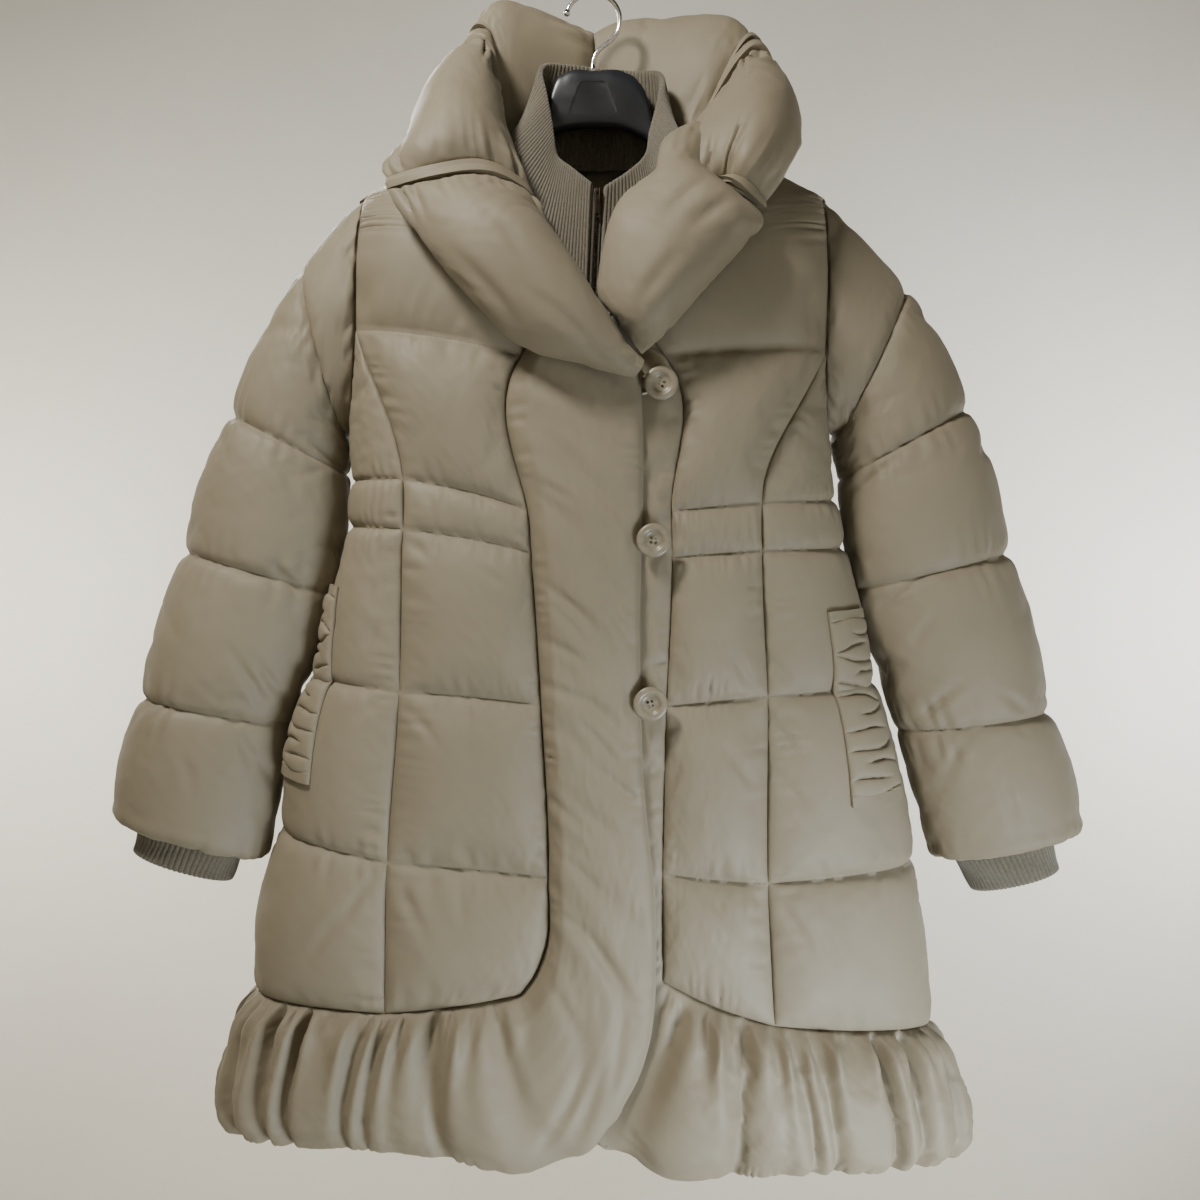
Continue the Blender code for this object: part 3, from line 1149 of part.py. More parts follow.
def pocket(side, panel):
    rows, columns = row_places(5), np.array(BAY_COLUMNS)
    place = POCKET[side]
    count = 3 * POCKET_FOLDS + 1
    run = np.linspace(0, 1, count)
    across = np.array([0.0, 0.25, 0.5, 0.75, 1.0])
    grid = np.zeros((count, len(across), 3))
    for i, down in enumerate(run):
        row = place["rows"][0] + (place["rows"][1] - place["rows"][0]) * down
        ends = [a + (b - a) * down for a, b in zip(place["top"], place["bottom"])]
        middle = max(0.5, ends[0] + 0.04)
        shares = (ends[0], (ends[0] + middle) / 2, middle, (middle + ends[1]) / 2, ends[1])
        for j, share in enumerate(shares):
            grid[i, j] = on_grid(panel["outer"], rows, columns, row, share)
    normal = unit(np.cross(np.gradient(grid, axis=1), -np.gradient(grid, axis=0)))
    if normal[count // 2, 2, 1] > 0:
        normal = -normal
    fold = (0.5 + 0.5 * gather_wave(POCKET_FOLDS, run))[:, None] * swell(across, 0.5)
    height = POCKET_WALL * (0.5 + 0.5 * swell(across, 0.3)) + POCKET_FOLD_HEIGHT * fold
    inner = grid + normal * POCKET_SEAT
    outer = inner + normal * height[..., None]
    wall("pocket_" + side, outer, inner, list(range(count)), [0, 2, 4])


# ---------------------------------------------------------------- hanger and hook

HANGER = Table(
    "x top low half_y middle_y",
    (-0.1860, -0.1850, -0.2000, 0.0110, -0.012),
    (-0.1500, -0.1665, -0.1920, 0.0140, -0.012),
    (-0.1180, -0.1530, -0.1790, 0.0120, -0.011),
    (-0.0900, -0.1495, -0.1710, 0.0110, -0.009),
    (-0.0620, -0.1440, -0.1610, 0.0095, -0.004),
    (-0.0500, -0.1400, -0.1550, 0.0090, -0.001),
    (-0.0440, -0.1180, -0.1400, 0.0090, 0.000),
    (-0.0385, -0.0940, -0.1270, 0.0090, 0.000),
    (-0.0340, -0.0780, -0.1235, 0.0090, 0.000),
    (-0.0250, -0.0702, -0.1205, 0.0095, 0.000),
    (0.0010, -0.0680, -0.1180, 0.0100, 0.000),
    (0.0280, -0.0692, -0.1205, 0.0095, 0.000),
    (0.0400, -0.0770, -0.1255, 0.0090, 0.000),
    (0.0490, -0.0950, -0.1330, 0.0090, 0.000),
    (0.0540, -0.1200, -0.1440, 0.0090, 0.000),
    (0.0600, -0.1430, -0.1580, 0.0090, -0.001),
    (0.0750, -0.1475, -0.1660, 0.0100, -0.004),
    (0.0950, -0.1500, -0.1730, 0.0110, -0.009),
    (0.1200, -0.1540, -0.1800, 0.0120, -0.011),
    (0.1520, -0.1675, -0.1930, 0.0140, -0.012),
    (0.1870, -0.1855, -0.2005, 0.0110, -0.012),
)
HANGER_SIDES = 10
WIRE_RADIUS = 0.0020
HOOK_RADIUS = 0.0240        # the bend's middle line
HOOK_BALL = 0.0029


def hanger():
    angles = 2 * np.pi * np.arange(HANGER_SIDES) / HANGER_SIDES
    rings = []
    for x, top, low, half_y, middle_y in HANGER.rows:
        round_off = np.sign(np.cos(angles)) * np.abs(np.cos(angles)) ** 0.7
        lift = np.sign(np.sin(angles)) * np.abs(np.sin(angles)) ** 0.7
        rings.append(np.stack([np.full(HANGER_SIDES, x), middle_y + half_y * round_off,
                               (top + low) / 2 + (top - low) / 2 * lift], -1))
    vertices = np.concatenate(rings)
    last = len(rings) - 1
    n = HANGER_SIDES
    faces = [(k * n + j, k * n + (j + 1) % n, (k + 1) * n + (j + 1) % n, (k + 1) * n + j)
             for k in range(last) for j in range(n)]
    faces += [list(range(n)), list(range((last + 1) * n - 1, last * n - 1, -1))]
    add_object("hanger", vertices, faces, "hanger_plastic")


def hook():
    """Open bend over the rail, then a swan neck down to the hanger's head."""
    centre_z = WIRE_RADIUS - HOOK_RADIUS
    bend = [(HOOK_RADIUS * math.cos(a), centre_z + HOOK_RADIUS * math.sin(a))
            for a in np.radians(np.linspace(172, -28, 15))]
    neck = [(0.0150, -0.0405), (0.0070, -0.0470), (0.0020, -0.0530), (0.0000, -0.0600),
            (0.0000, -0.0686)]
    path = [(x, 0.0, z) for x, z in bend + neck]
    radius = np.full(len(path), WIRE_RADIUS)
    radius[0] = HOOK_BALL * 0.6
    radius[1] = HOOK_BALL
    tube("hook", path, radius, "chrome", 8)


# ---------------------------------------------------------------- the model


def clear_scene():
    for old in list(bpy.data.objects):
        bpy.data.objects.remove(old, do_unlink=True)


def build():
    clear_scene()
    bands = {}
    for side in ("right", "left"):
        centre, side_panel = centre_front(side), side_front(side)
        bands[side] = front_band(side, centre, side_panel)
        pocket(side, side_panel)
        sleeve(side)
        cuff(side)
        for piece in COLLAR_PIECES[side]:
            collar_piece(side, *piece)
    back_hem(back_panel())
    rib_collar()
    zip_chain()
    zip_slider()
    zip_pull()
    for number, (x, z) in enumerate(BUTTONS, 1):
        button(number, x, z)
        elastic_loop(number, x, z, bands["right"])
    hanger()
    hook()


build()
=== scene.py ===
"""Looks of the long puffer coat: padded cloth, knit, trims, hanger, light and camera.

Metres, +Z up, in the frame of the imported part: the origin is the inside of the hook's top, the
coat faces -Y and the wearer's left is at +X. Every padded piece starts as a fine grid on its
solid's form, is inflated by a short cloth simulation with its seams held, and is then closed
over a plain inner face.
"""

import math

import bmesh
import bpy
import numpy as np
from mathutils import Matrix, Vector

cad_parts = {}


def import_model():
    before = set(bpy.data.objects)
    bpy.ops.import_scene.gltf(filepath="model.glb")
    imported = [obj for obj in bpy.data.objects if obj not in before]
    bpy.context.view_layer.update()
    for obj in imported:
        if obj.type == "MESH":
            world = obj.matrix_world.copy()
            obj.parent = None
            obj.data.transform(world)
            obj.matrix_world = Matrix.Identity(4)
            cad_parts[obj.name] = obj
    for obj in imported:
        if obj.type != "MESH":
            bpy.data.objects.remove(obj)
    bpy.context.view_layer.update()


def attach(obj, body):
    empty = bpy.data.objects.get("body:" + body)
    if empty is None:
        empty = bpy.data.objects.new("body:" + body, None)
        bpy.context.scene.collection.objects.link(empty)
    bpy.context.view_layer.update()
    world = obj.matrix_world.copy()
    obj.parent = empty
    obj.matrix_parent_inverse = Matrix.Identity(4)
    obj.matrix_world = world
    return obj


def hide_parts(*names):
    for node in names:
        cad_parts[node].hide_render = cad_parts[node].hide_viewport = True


# ---------------------------------------------------------------- the coat's form

SEAM_WALL = 0.0030          # thickness of a quilted wall at its seams
OUTLINE_PAD = 0.006         # the inner face lies this far inside the coat's outline
SLEEVE_PAD = 0.004          # the same on the sleeves
RIDGE_GAP = 0.0005          # front and back each stay this far from the shoulder ridge
RIDGE_Y = -0.012            # depth of the shoulder ridge
SHOULDER_ROUND = 0.100      # drop over which the shoulder turns from ridge to full depth
NECK_RIDGE = (0.060, -0.118)    # a point of the shoulder ridge near the neck: x, z
RIDGE_SLOPE = 0.514         # fall of the ridge per metre across
BACK_NECK_Z = -0.132        # height of the back neck edge
ARMHOLE_TOP_X = 0.199       # distance across of the armhole's top
ARMHOLE_BOTTOM_Z = -0.385
ARMHOLE_FRONT = 0.048       # half depths of the armhole
ARMHOLE_BACK = 0.044
TENTHS = 1e4                # tenths of a millimetre in a metre


class Table:
    """Rows of numbers under named columns, read smoothly along the first column.

    With plain given, the columns after that many are in tenths of a millimetre.
    """

    def __init__(self, names, *rows, plain=None):
        self.names = names.split()
        self.rows = np.array(rows, float)
        if plain is not None:
            self.rows[:, plain:] /= TENTHS

    def column(self, name):
        return self.rows[:, self.names.index(name)]

    def at(self, name, place):
        place = np.clip(place, self.rows[0, 0], self.rows[-1, 0])
        return smooth_between(self.rows[:, 0], self.column(name), place)

    def after_first(self, place):
        """The values at a place of all the columns but the first."""
        return [float(self.at(name, place)) for name in self.names[1:]]

    def vector(self, prefix, place):
        return np.stack([self.at(prefix + axis, place) for axis in "xyz"], -1)


def smooth_between(knots, values, place):
    """Cubic Hermite curve through the values, with slopes from their neighbours."""
    slopes = np.gradient(values, knots)
    left = np.clip(np.searchsorted(knots, place, side="right") - 1, 0, len(knots) - 2)
    span = knots[left + 1] - knots[left]
    part = (place - knots[left]) / span
    keep, gain = 2 * part**3 - 3 * part**2 + 1, part**3 - 2 * part**2 + part
    push = part**3 - part**2
    return (keep * values[left] + (1 - keep) * values[left + 1]
            + span * (gain * slopes[left] + push * slopes[left + 1]))


# The coat's outline at each height: left and right edge, front and back, squareness of the section.
BODY = Table(
    "z       left    right   front   back   square",
    (-1.020, -0.309, 0.311, -0.118, 0.070, 2.4),
    (-0.985, -0.315, 0.314, -0.121, 0.073, 2.4),
    (-0.950, -0.314, 0.306, -0.122, 0.073, 2.4),
    (-0.910, -0.303, 0.294, -0.120, 0.071, 2.4),
    (-0.870, -0.291, 0.288, -0.116, 0.066, 2.5),
    (-0.800, -0.284, 0.279, -0.117, 0.064, 2.5),
    (-0.740, -0.270, 0.273, -0.118, 0.063, 2.5),
    (-0.640, -0.250, 0.250, -0.119, 0.062, 2.6),
    (-0.560, -0.224, 0.229, -0.119, 0.061, 2.7),
    (-0.484, -0.209, 0.213, -0.119, 0.060, 2.8),
    (-0.435, -0.206, 0.205, -0.117, 0.060, 2.9),
    (-0.385, -0.207, 0.201, -0.114, 0.060, 3.2),
    (-0.300, -0.206, 0.204, -0.106, 0.060, 4.0),
    (-0.200, -0.205, 0.205, -0.095, 0.060, 5.0),
    (-0.080, -0.205, 0.205, -0.085, 0.060, 5.0),
)

# Seam lines down the front: where each lies across at a height.
PLACKET = {
    "right": Table("z x", (-8503, -575), (-8380, -480), (-8145, -376), (-7585, -352), (-6070, -416),
                   (-4800, -496), (-3406, -575), (-3220, -440), (-3020, -100), plain=0),
    "left": Table("z x", (-8396, 560), (-7530, 560), (-6200, 590), (-5020, 635), (-4650, 630),
                  (-3400, 580), (-3230, 440), (-3050, 200), plain=0),
}
PRINCESS = {
    "right": Table("z x", (-8687, -1672), (-7473, -1647), (-6090, -1550), (-5030, -1533),
                   (-4380, -1525), (-3100, -1875), plain=0),
    "left": Table("z x", (-8777, 1462), (-7474, 1405), (-6170, 1405), (-5030, 1364), (-4380, 1381),
                  (-3729, 1609), (-3280, 1788), plain=0),
}
NECKLINE = {
    "right": Table("z x", (-3020, -100), (-2635, -222), (-2370, -360), (-2110, -480), (-1790, -600),
                   (-1530, -690), (-1283, -800), plain=0),
    "left": Table("z x", (-3050, 200), (-2606, 310), (-2370, 420), (-2103, 540), (-1790, 670),
                  (-1550, 780), (-1334, 900), plain=0),
}
# Heights of the quilting rows where they meet each seam, from the hem seam up.
RUNGS = {
    "right": {"placket": (-0.8503, -0.7565, -0.6191, -0.4984, -0.4642, -0.3406, -0.3020),
              "princess": (-0.8687, -0.7468, -0.6093, -0.4784, -0.4375, -0.3100),
              "side": (-0.8676, -0.7254, -0.5978, -0.4728, -0.4348, ARMHOLE_BOTTOM_Z)},
    "left": {"placket": (-0.8396, -0.7532, -0.6205, -0.5021, -0.4653, -0.3400, -0.3050),
             "princess": (-0.8777, -0.7631, -0.6134, -0.4964, -0.4580, -0.3280),
             "side": (-0.8995, -0.7556, -0.6047, -0.4909, -0.4495, ARMHOLE_BOTTOM_Z)},
}
SIGN = {"right": -1.0, "left": 1.0}
# How far the filling stands out in each bay, from the hem seam up; the front's last bay runs
# from its top quilting row over the chest to the shoulder.
FRONT_PUFF = (0.012, 0.012, 0.011, 0.006, 0.011, 0.006)
SIDE_PUFF = (0.011, 0.010, 0.009, 0.005, 0.003)
BACK_PUFF = (0.012, 0.012, 0.011, 0.006, 0.004, 0.006, 0.005)
ARMHOLE_ROW = 5             # the row where the side seam meets the armhole
TOP_ROW = np.array([7.0])   # the row at the shoulder
CHEST_LENGTH = 0.175        # the front's last bay
YOKE_LENGTHS = (0.10, 0.11)     # the back's two bays above the underarm
SHOULDER_Z = -0.16          # a height near the shoulder, where a turn's place across is taken
FRONT_COLUMNS = 25          # points across a front panel, and across the back
BACK_COLUMNS = 97


def shoulder_z(x):
    return NECK_RIDGE[1] - RIDGE_SLOPE * (np.abs(x) - NECK_RIDGE[0])


def section(z):
    """Centre, half width, half depth and squareness of the inner face at a height."""
    left, right = BODY.at("left", z) + OUTLINE_PAD, BODY.at("right", z) - OUTLINE_PAD
    front, back = BODY.at("front", z) + OUTLINE_PAD, BODY.at("back", z) - OUTLINE_PAD
    return ((left + right) / 2, (front + back) / 2, (right - left) / 2, (back - front) / 2,
            BODY.at("square", z))


def fullness(x, z):
    """How much of its full depth the coat has below the shoulder ridge, 0 to 1."""
    drop = np.clip((shoulder_z(x) - z) / SHOULDER_ROUND, 0.0, 1.0)
    return np.sqrt(np.clip(1 - (1 - drop) ** 2, 0.0, 1.0))


def body_point(turn, z):
    """Inner face of the body: turn 0 is the centre front, 0.25 the left side, 0.5 the back."""
    turn, z = np.broadcast_arrays(np.asarray(turn, float), np.asarray(z, float))
    middle_x, middle_y, half_x, half_y, square = section(z)
    sine, cosine = np.sin(2 * np.pi * turn), np.cos(2 * np.pi * turn)
    reach = (np.abs(sine / half_x) ** square + np.abs(cosine / half_y) ** square) ** (-1 / square)
    x = middle_x + reach * sine
    y = middle_y - reach * cosine
    y = RIDGE_Y + (y - RIDGE_Y) * fullness(x, z)
    return np.stack([x, y, z], -1)


def body_normal(turn, z):
    step = 0.0005
    across = body_point(turn + step, z) - body_point(turn - step, z)
    upward = body_point(turn, z + step) - body_point(turn, z - step)
    return unit(np.cross(across, upward))


def unit(vectors):
    return vectors / np.maximum(np.linalg.norm(vectors, axis=-1, keepdims=True), 1e-12)


def turn_at_x(x, z, back=False):
    """The turn where the front, or the back, has a given place across."""
    middle_x, _, half_x, half_y, square = section(np.asarray(z, float))
    share = np.clip(np.abs(x - middle_x) / half_x, 0.0, 0.999)
    depth = half_y * (1 - share**square) ** (1 / square)
    return np.arctan2(x - middle_x, -depth if back else depth) / (2 * np.pi)


def armhole_span():
    """Height of an armhole's top, and half its drop."""
    top = shoulder_z(ARMHOLE_TOP_X)
    return top, (top - ARMHOLE_BOTTOM_Z) / 2


def armhole(side, angle):
    """Turn and height along an armhole: angle 0 at the shoulder, pi at the underarm, front first."""
    angle = np.asarray(angle, float)
    back = np.sin(angle) < 0
    top, half = armhole_span()
    sink = (1 - np.cos(angle)) / 2
    z = top - 2 * half * sink
    _, middle_y, half_x, half_y, square = section(z)
    reach = np.where(back, ARMHOLE_BACK, ARMHOLE_FRONT) * -np.sin(angle)
    y = reach / np.maximum(fullness(ARMHOLE_TOP_X, z), 0.25)
    y = y + RIDGE_Y + (middle_y - RIDGE_Y) * sink
    share = np.clip(np.abs(y - middle_y) / half_y, 0.0, 0.97)
    x = half_x * (1 - share**square) ** (1 / square)
    return np.arctan2(SIGN[side] * x, middle_y - y) / (2 * np.pi), z


def princess_angle(side):
    """Where on the armhole the princess seam ends."""
    top, half = armhole_span()
    return math.acos((RUNGS[side]["princess"][-1] - top + half) / half)


def rung_height(heights, row):
    return np.interp(row, np.arange(len(heights)), heights)


def placket_line(side, row):
    """Seam of the placket up to the neckline, then the neckline up to the shoulder."""
    heights = RUNGS[side]["placket"]
    last = len(heights) - 1
    neck_heights = NECKLINE[side].rows[:, 0]
    z = np.where(row <= last, rung_height(heights, row),
                 neck_heights[0] + (neck_heights[-1] - neck_heights[0]) * (row - last))
    x = np.where(row <= last, PLACKET[side].at("x", z), NECKLINE[side].at("x", z))
    return turn_at_x(x, z), z


def princess_line(side, row):
    """Princess seam up to the armhole, then the front of the armhole up to the shoulder."""
    heights = RUNGS[side]["princess"]
    last = len(heights) - 1
    z = rung_height(heights, np.minimum(row, last))
    turn = turn_at_x(PRINCESS[side].at("x", z), z)
    end_turn = turn_at_x(PRINCESS[side].at("x", heights[-1]), heights[-1])
    miss = armhole(side, princess_angle(side))[0] - end_turn
    turn = turn + miss * np.clip(row - (last - 1), 0, 1) ** 2
    arm_turn, arm_z = armhole(side, princess_angle(side) * (1 - np.clip(row - last, 0, 2) / 2))
    return np.where(row <= last, turn, arm_turn), np.where(row <= last, z, arm_z)


def side_line(side, row):
    """Side seam up to the underarm, then the back of the armhole up to the shoulder."""
    heights = RUNGS[side]["side"]
    last = len(heights) - 1
    z = rung_height(heights, np.minimum(row, last))
    arm_turn, arm_z = armhole(side, np.pi * (1 + np.clip(row - last, 0, 2) / 2))
    turn = np.where(row <= last, SIGN[side] * 0.25, arm_turn)
    return turn, np.where(row <= last, z, arm_z)


def swell(part, power=0.6):
    """Height of a filled bay across one direction: 0 at its seams, 1 in the middle."""
    return (4 * np.clip(part, 0, 1) * (1 - np.clip(part, 0, 1))) ** power


def armhole_mitre(side, points, *where):
    """Carries the inner edge at an armhole towards the sleeve's own inner face."""
    shift = np.zeros_like(points)
    shift[where] = (unit((armhole_centre(side) - points) * (0, 1, 1)) * SEAM_WALL)[where]
    return shift


def armhole_centre(side):
    angles = np.linspace(0, 2 * np.pi, 24, endpoint=False)
    return body_point(*armhole(side, angles)).mean(0)


def along(points, part):
    """Places along a chain of points, straight between them."""
    lengths = np.concatenate([[0], np.cumsum(np.linalg.norm(np.diff(points, axis=0), axis=1))])
    where = part * lengths[-1]
    return np.stack([np.interp(where, lengths, points[:, k]) for k in range(3)], -1)


def point_turn(points):
    """Turn of points that lie on or near the body's form."""
    middle_x, middle_y = section(points[..., 2])[:2]
    return np.arctan2(points[..., 0] - middle_x, middle_y - points[..., 1]) / (2 * np.pi)


def panel_places(left, right, rows, columns, top_row=None):
    """Turn and height over a panel between two seam lines, with an optional shaped top row."""
    left_turn, left_z = left(rows)
    right_turn, right_z = right(rows)
    turn = left_turn[:, None] + (right_turn - left_turn)[:, None] * columns
    z = left_z[:, None] + (right_z - left_z)[:, None] * columns
    if top_row is not None:
        last_bay = np.clip(rows - (rows[-1] - 1), 0, 1)[:, None]
        top_turn, top_z = top_row
        turn = turn + last_bay * (top_turn - turn[-1])
        z = z + last_bay * (top_z - z[-1])
    return turn, z


# ---------------------------------------------------------------- padded cloth

CELL = 0.005                # spacing of the points of the simulated cloth
BACK_CELL = 0.006           # and up the back
START_PUFF = 0.85           # share of its full height that a bay starts with
# How much longer the cloth is than the form it starts on, beside a seam and away from it.
SURPLUS = (0.060, 0.014)
SLEEVE_SURPLUS = (0.085, 0.020)
SEAM_REACH = 5              # cells over which the surplus beside a seam dies away
PRESSURE = 8.0
# The cloth of the placket, the underlap and the hem: its filling, surplus and pressure.
BAND_CLOTH = {"fill": 0.4, "surplus": (0.060, 0.035), "pressure": 5.0}
SIM_FRAMES = 20
SMOOTH_PASSES = 1
MOST_MOVE = 0.010           # no point of the cloth may move further than this
LEAST_MOVE = 0.001          # the same where a button or the overlap holds it down
FOLD_SEED = 0.0003          # unevenness that lets the surplus cloth fall into folds
# Puckers that a row of stitches draws up on both its sides: depth, spacing and reach.
PUCKER = (0.0013, 0.014, 0.009)
SLEEVE_PUCKER = (0.0020, 0.016, 0.012)
GATHERED = (0.0042, 0.0130, 0.020)
SEAM_GROOVE = (0.0011, 0.0022)      # depth and half width of the groove that a seam draws in
CREASE_DEPTH = 1.5          # how deep the creases are cut, against their own depths
# The main creases of the cloth, seen from the front, in tenths of a millimetre: place across and
# height, slant in degrees, length, width and depth.
CREASES = {
    "front_band_right": (
        (-280, -4510, -30, 400, 40, 13), (100, -4800, -50, 450, 45, 13),
        (-190, -5380, -40, 550, 40, 22), (-160, -5560, -50, 450, 40, 18),
        (220, -5560, -55, 500, 50, 20), (-240, -5740, -27, 450, 40, 18),
        (-190, -6100, -22, 600, 50, 24), (80, -6500, -50, 600, 50, 22),
        (250, -6850, -45, 450, 45, 18), (-220, -7020, -38, 500, 45, 24),
        (-50, -7540, -45, 600, 55, 28), (-160, -7900, -38, 500, 45, 22),
        (120, -8230, -55, 650, 55, 28), (-200, -8600, -60, 500, 50, 20),
        (200, -8900, -100, 700, 60, 22), (-220, -9350, -118, 700, 60, 24),
        (0, -9250, -110, 800, 60, 20)),
    "sleeve_right": (
        (-2260, -4110, -40, 450, 50, 32), (-2550, -5160, -50, 350, 45, 24),
        (-2830, -5970, -62, 500, 45, 28), (-2660, -6030, -60, 500, 45, 28),
        (-2860, -6600, -72, 500, 45, 24), (-2720, -6800, -68, 500, 45, 24),
        (-3300, -6760, -75, 350, 50, 16), (-2500, -4400, -62, 350, 45, 18)),
    "sleeve_left": (
        (2360, -4300, 42, 450, 50, 30), (2580, -5280, 36, 450, 45, 28),
        (2720, -5600, 58, 400, 45, 22), (2850, -6190, 48, 500, 45, 28),
        (3500, -6220, -35, 350, 45, 22), (3000, -6600, 66, 450, 45, 22),
        (3400, -7000, -72, 400, 50, 20)),
    "front_side_right": (
        (-1730, -6190, 35, 400, 45, 18), (-1900, -7780, 56, 600, 50, 24),
        (-2120, -8010, 54, 600, 50, 20), (-1760, -5600, 62, 350, 40, 15)),
    "front_centre_right": (
        (-1460, -7780, -60, 550, 50, 24), (-1050, -7700, -78, 450, 50, 18),
        (-1350, -6350, -45, 400, 45, 20), (-1400, -4940, -42, 300, 40, 16),
        (-750, -5200, -35, 350, 45, 14)),
    "front_centre_left": (
        (1170, -5900, -58, 550, 45, 22), (1000, -5750, -62, 400, 45, 16),
        (1160, -6670, -55, 450, 45, 20), (1000, -7800, -50, 500, 50, 20)),
    "front_side_left": (
        (1480, -5910, -45, 400, 45, 20), (1500, -6410, -55, 500, 50, 24),
        (1600, -6900, -50, 550, 50, 20), (1580, -7900, -52, 600, 55, 24),
        (1900, -8150, -60, 500, 50, 18)),
    "collar_lapel_right": (
        (-790, -2990, -50, 800, 60, 30), (-190, -3240, -42, 700, 55, 26),
        (-600, -2620, -52, 600, 60, 20)),
    "collar_lapel_left": (
        (920, -2360, 40, 500, 55, 30), (720, -2220, 46, 500, 55, 24),
        (500, -2900, 52, 600, 60, 20)),
}


class Pad:
    """A padded piece before it is inflated: its outer grid, its inner face, what is sewn down."""

    surplus, pressure, most, fill, pucker = SURPLUS, PRESSURE, MOST_MOVE, 0.6, PUCKER
    closed, plain_start, simulated = False, False, True

    def __init__(self, node, outer, inner, sewn=None, **cloth):
        self.node, self.outer, self.inner = node, outer, inner
        self.sewn = bordered(outer.shape[:2]) if sewn is None else sewn
        vars(self).update(cloth)


def bordered(shape, rows=(0, -1)):
    """Marks what a grid is sewn down on: its first and last columns, and the given rows."""
    sewn = np.zeros(shape, bool)
    sewn[np.array(rows)] = True
    sewn[:, [0, -1]] = True
    return sewn


def fine_rows(lengths, cell=CELL, least=6):
    """Places up a panel whose bays have the given lengths, one cell apart; whole numbers are seams."""
    rows = []
    for bay, length in enumerate(lengths):
        count = max(least, int(round(length / cell)))
        rows += [bay + k / count for k in range(count)]
    return np.array(rows + [float(len(lengths))])


def is_seam(rows, seams):
    return np.isclose(rows[:, None], np.array(seams, float)).any(1)


def bay_height(rows, seams, puffs, power=0.6):
    """Height of the filling at each row, 0 on the seams."""
    bay = np.clip(np.searchsorted(seams, rows, side="right") - 1, 0, len(seams) - 2)
    low, high = np.array(seams, float)[bay], np.array(seams, float)[bay + 1]
    return np.array(puffs)[bay] * swell((rows - low) / (high - low), power)


def quilted_pad(node, turn, z, rows, columns, seams, puffs, mitre=None, ridge=0.0, **cloth):
    """A body panel on the coat's form, sewn down along its border and its quilting rows."""
    base, normal = body_point(turn, z), body_normal(turn, z)
    height = bay_height(rows, seams, puffs)[:, None] * swell(columns, 0.45)
    base[-1, :, 1] += ridge
    outer = base + normal * (SEAM_WALL + START_PUFF * height)[..., None]
    inner = base if mitre is None else base + mitre
    return Pad(node, outer, inner, bordered(outer.shape[:2], is_seam(rows, seams)), **cloth)


def top_edge(first_turn, last_turn, columns, height):
    """Turn and height along a panel's top, whose height follows from the place across."""
    turn = first_turn + (last_turn - first_turn) * columns
    return turn, height(body_point(turn, np.full_like(turn, SHOULDER_Z))[..., 0])


def centre_front(side):
    rows = fine_rows(list(np.diff(RUNGS[side]["placket"])) + [CHEST_LENGTH])
    columns = np.linspace(0, 1, FRONT_COLUMNS)
    top_turn, top_z = top_edge(placket_line(side, TOP_ROW)[0], princess_line(side, TOP_ROW)[0],
                               columns, shoulder_z)
    top_z[-1] = armhole(side, 0.0)[1]
    turn, z = panel_places(lambda r: placket_line(side, r), lambda r: princess_line(side, r),
                           rows, columns, (top_turn, top_z))
    mitre = armhole_mitre(side, body_point(turn, z), rows >= ARMHOLE_ROW, -1)
    return quilted_pad("front_centre_" + side, turn, z, rows, columns, (0, 1, 2, 3, 4, 5, 7),
                       FRONT_PUFF, mitre, ridge=-RIDGE_GAP)


def side_front(side):
    rows = fine_rows(np.diff(RUNGS[side]["princess"]))
    columns = np.linspace(0, 1, FRONT_COLUMNS)
    angles = princess_angle(side) + (np.pi - princess_angle(side)) * columns
    turn, z = panel_places(lambda r: princess_line(side, r), lambda r: side_line(side, r),
                           rows, columns, armhole(side, angles))
    return quilted_pad("front_side_" + side, turn, z, rows, columns, range(6), SIDE_PUFF,
                       armhole_mitre(side, body_point(turn, z), -1))


def back_top(x):
    """Height of the back's top edge: the shoulder ridge, and level across the neck."""
    return np.minimum(shoulder_z(x), BACK_NECK_Z)


def back_panel():
    def left_line(row):
        return side_line("left", row)

    def right_line(row):
        turn, z = side_line("right", row)
        return turn + 1.0, z

    rows = fine_rows(list(np.diff(RUNGS["left"]["side"])) + list(YOKE_LENGTHS), BACK_CELL)
    columns = np.linspace(0, 1, BACK_COLUMNS)
    top_turn, top_z = top_edge(left_line(TOP_ROW)[0], right_line(TOP_ROW)[0], columns, back_top)
    top_z[[0, -1]] = armhole("left", 0.0)[1]
    turn, z = panel_places(left_line, right_line, rows, columns, (top_turn, top_z))
    mitre = sum(armhole_mitre(side, body_point(turn, z), rows >= ARMHOLE_ROW, column)
                for side, column in (("left", 0), ("right", -1)))
    return quilted_pad("back", turn, z, rows, columns, range(8), BACK_PUFF, mitre,
                       ridge=RIDGE_GAP)


# ---------------------------------------------------------------- sleeves and cuffs

# Each quilting row of a sleeve seen from the front, and its depth.
SLEEVE = {
    "right": Table("row outer_x outer_z inner_x inner_z middle_y half_y",
                   (1, -2517, -2495, -2120, -3990, -140, 520),
                   (2, -3102, -3771, -2130, -4270, -220, 500),
                   (3, -3473, -4952, -2190, -5297, -320, 470),
                   (4, -3818, -6185, -2560, -6409, -380, 450),
                   (5, -4033, -7142, -2760, -7478, -400, 430), plain=1),
    "left": Table("row outer_x outer_z inner_x inner_z middle_y half_y",
                  (1, 2718, -2675, 2085, -3990, -140, 520),
                  (2, 3218, -3719, 2130, -4320, -220, 500),
                  (3, 3537, -4960, 2240, -5280, -320, 470),
                  (4, 3864, -6305, 2600, -6470, -380, 450),
                  (5, 4123, -7245, 2886, -7497, -400, 430), plain=1),
}
UNDERARM_CLEAR = 0.0080      # how far the sleeve swings clear of the side below the arm
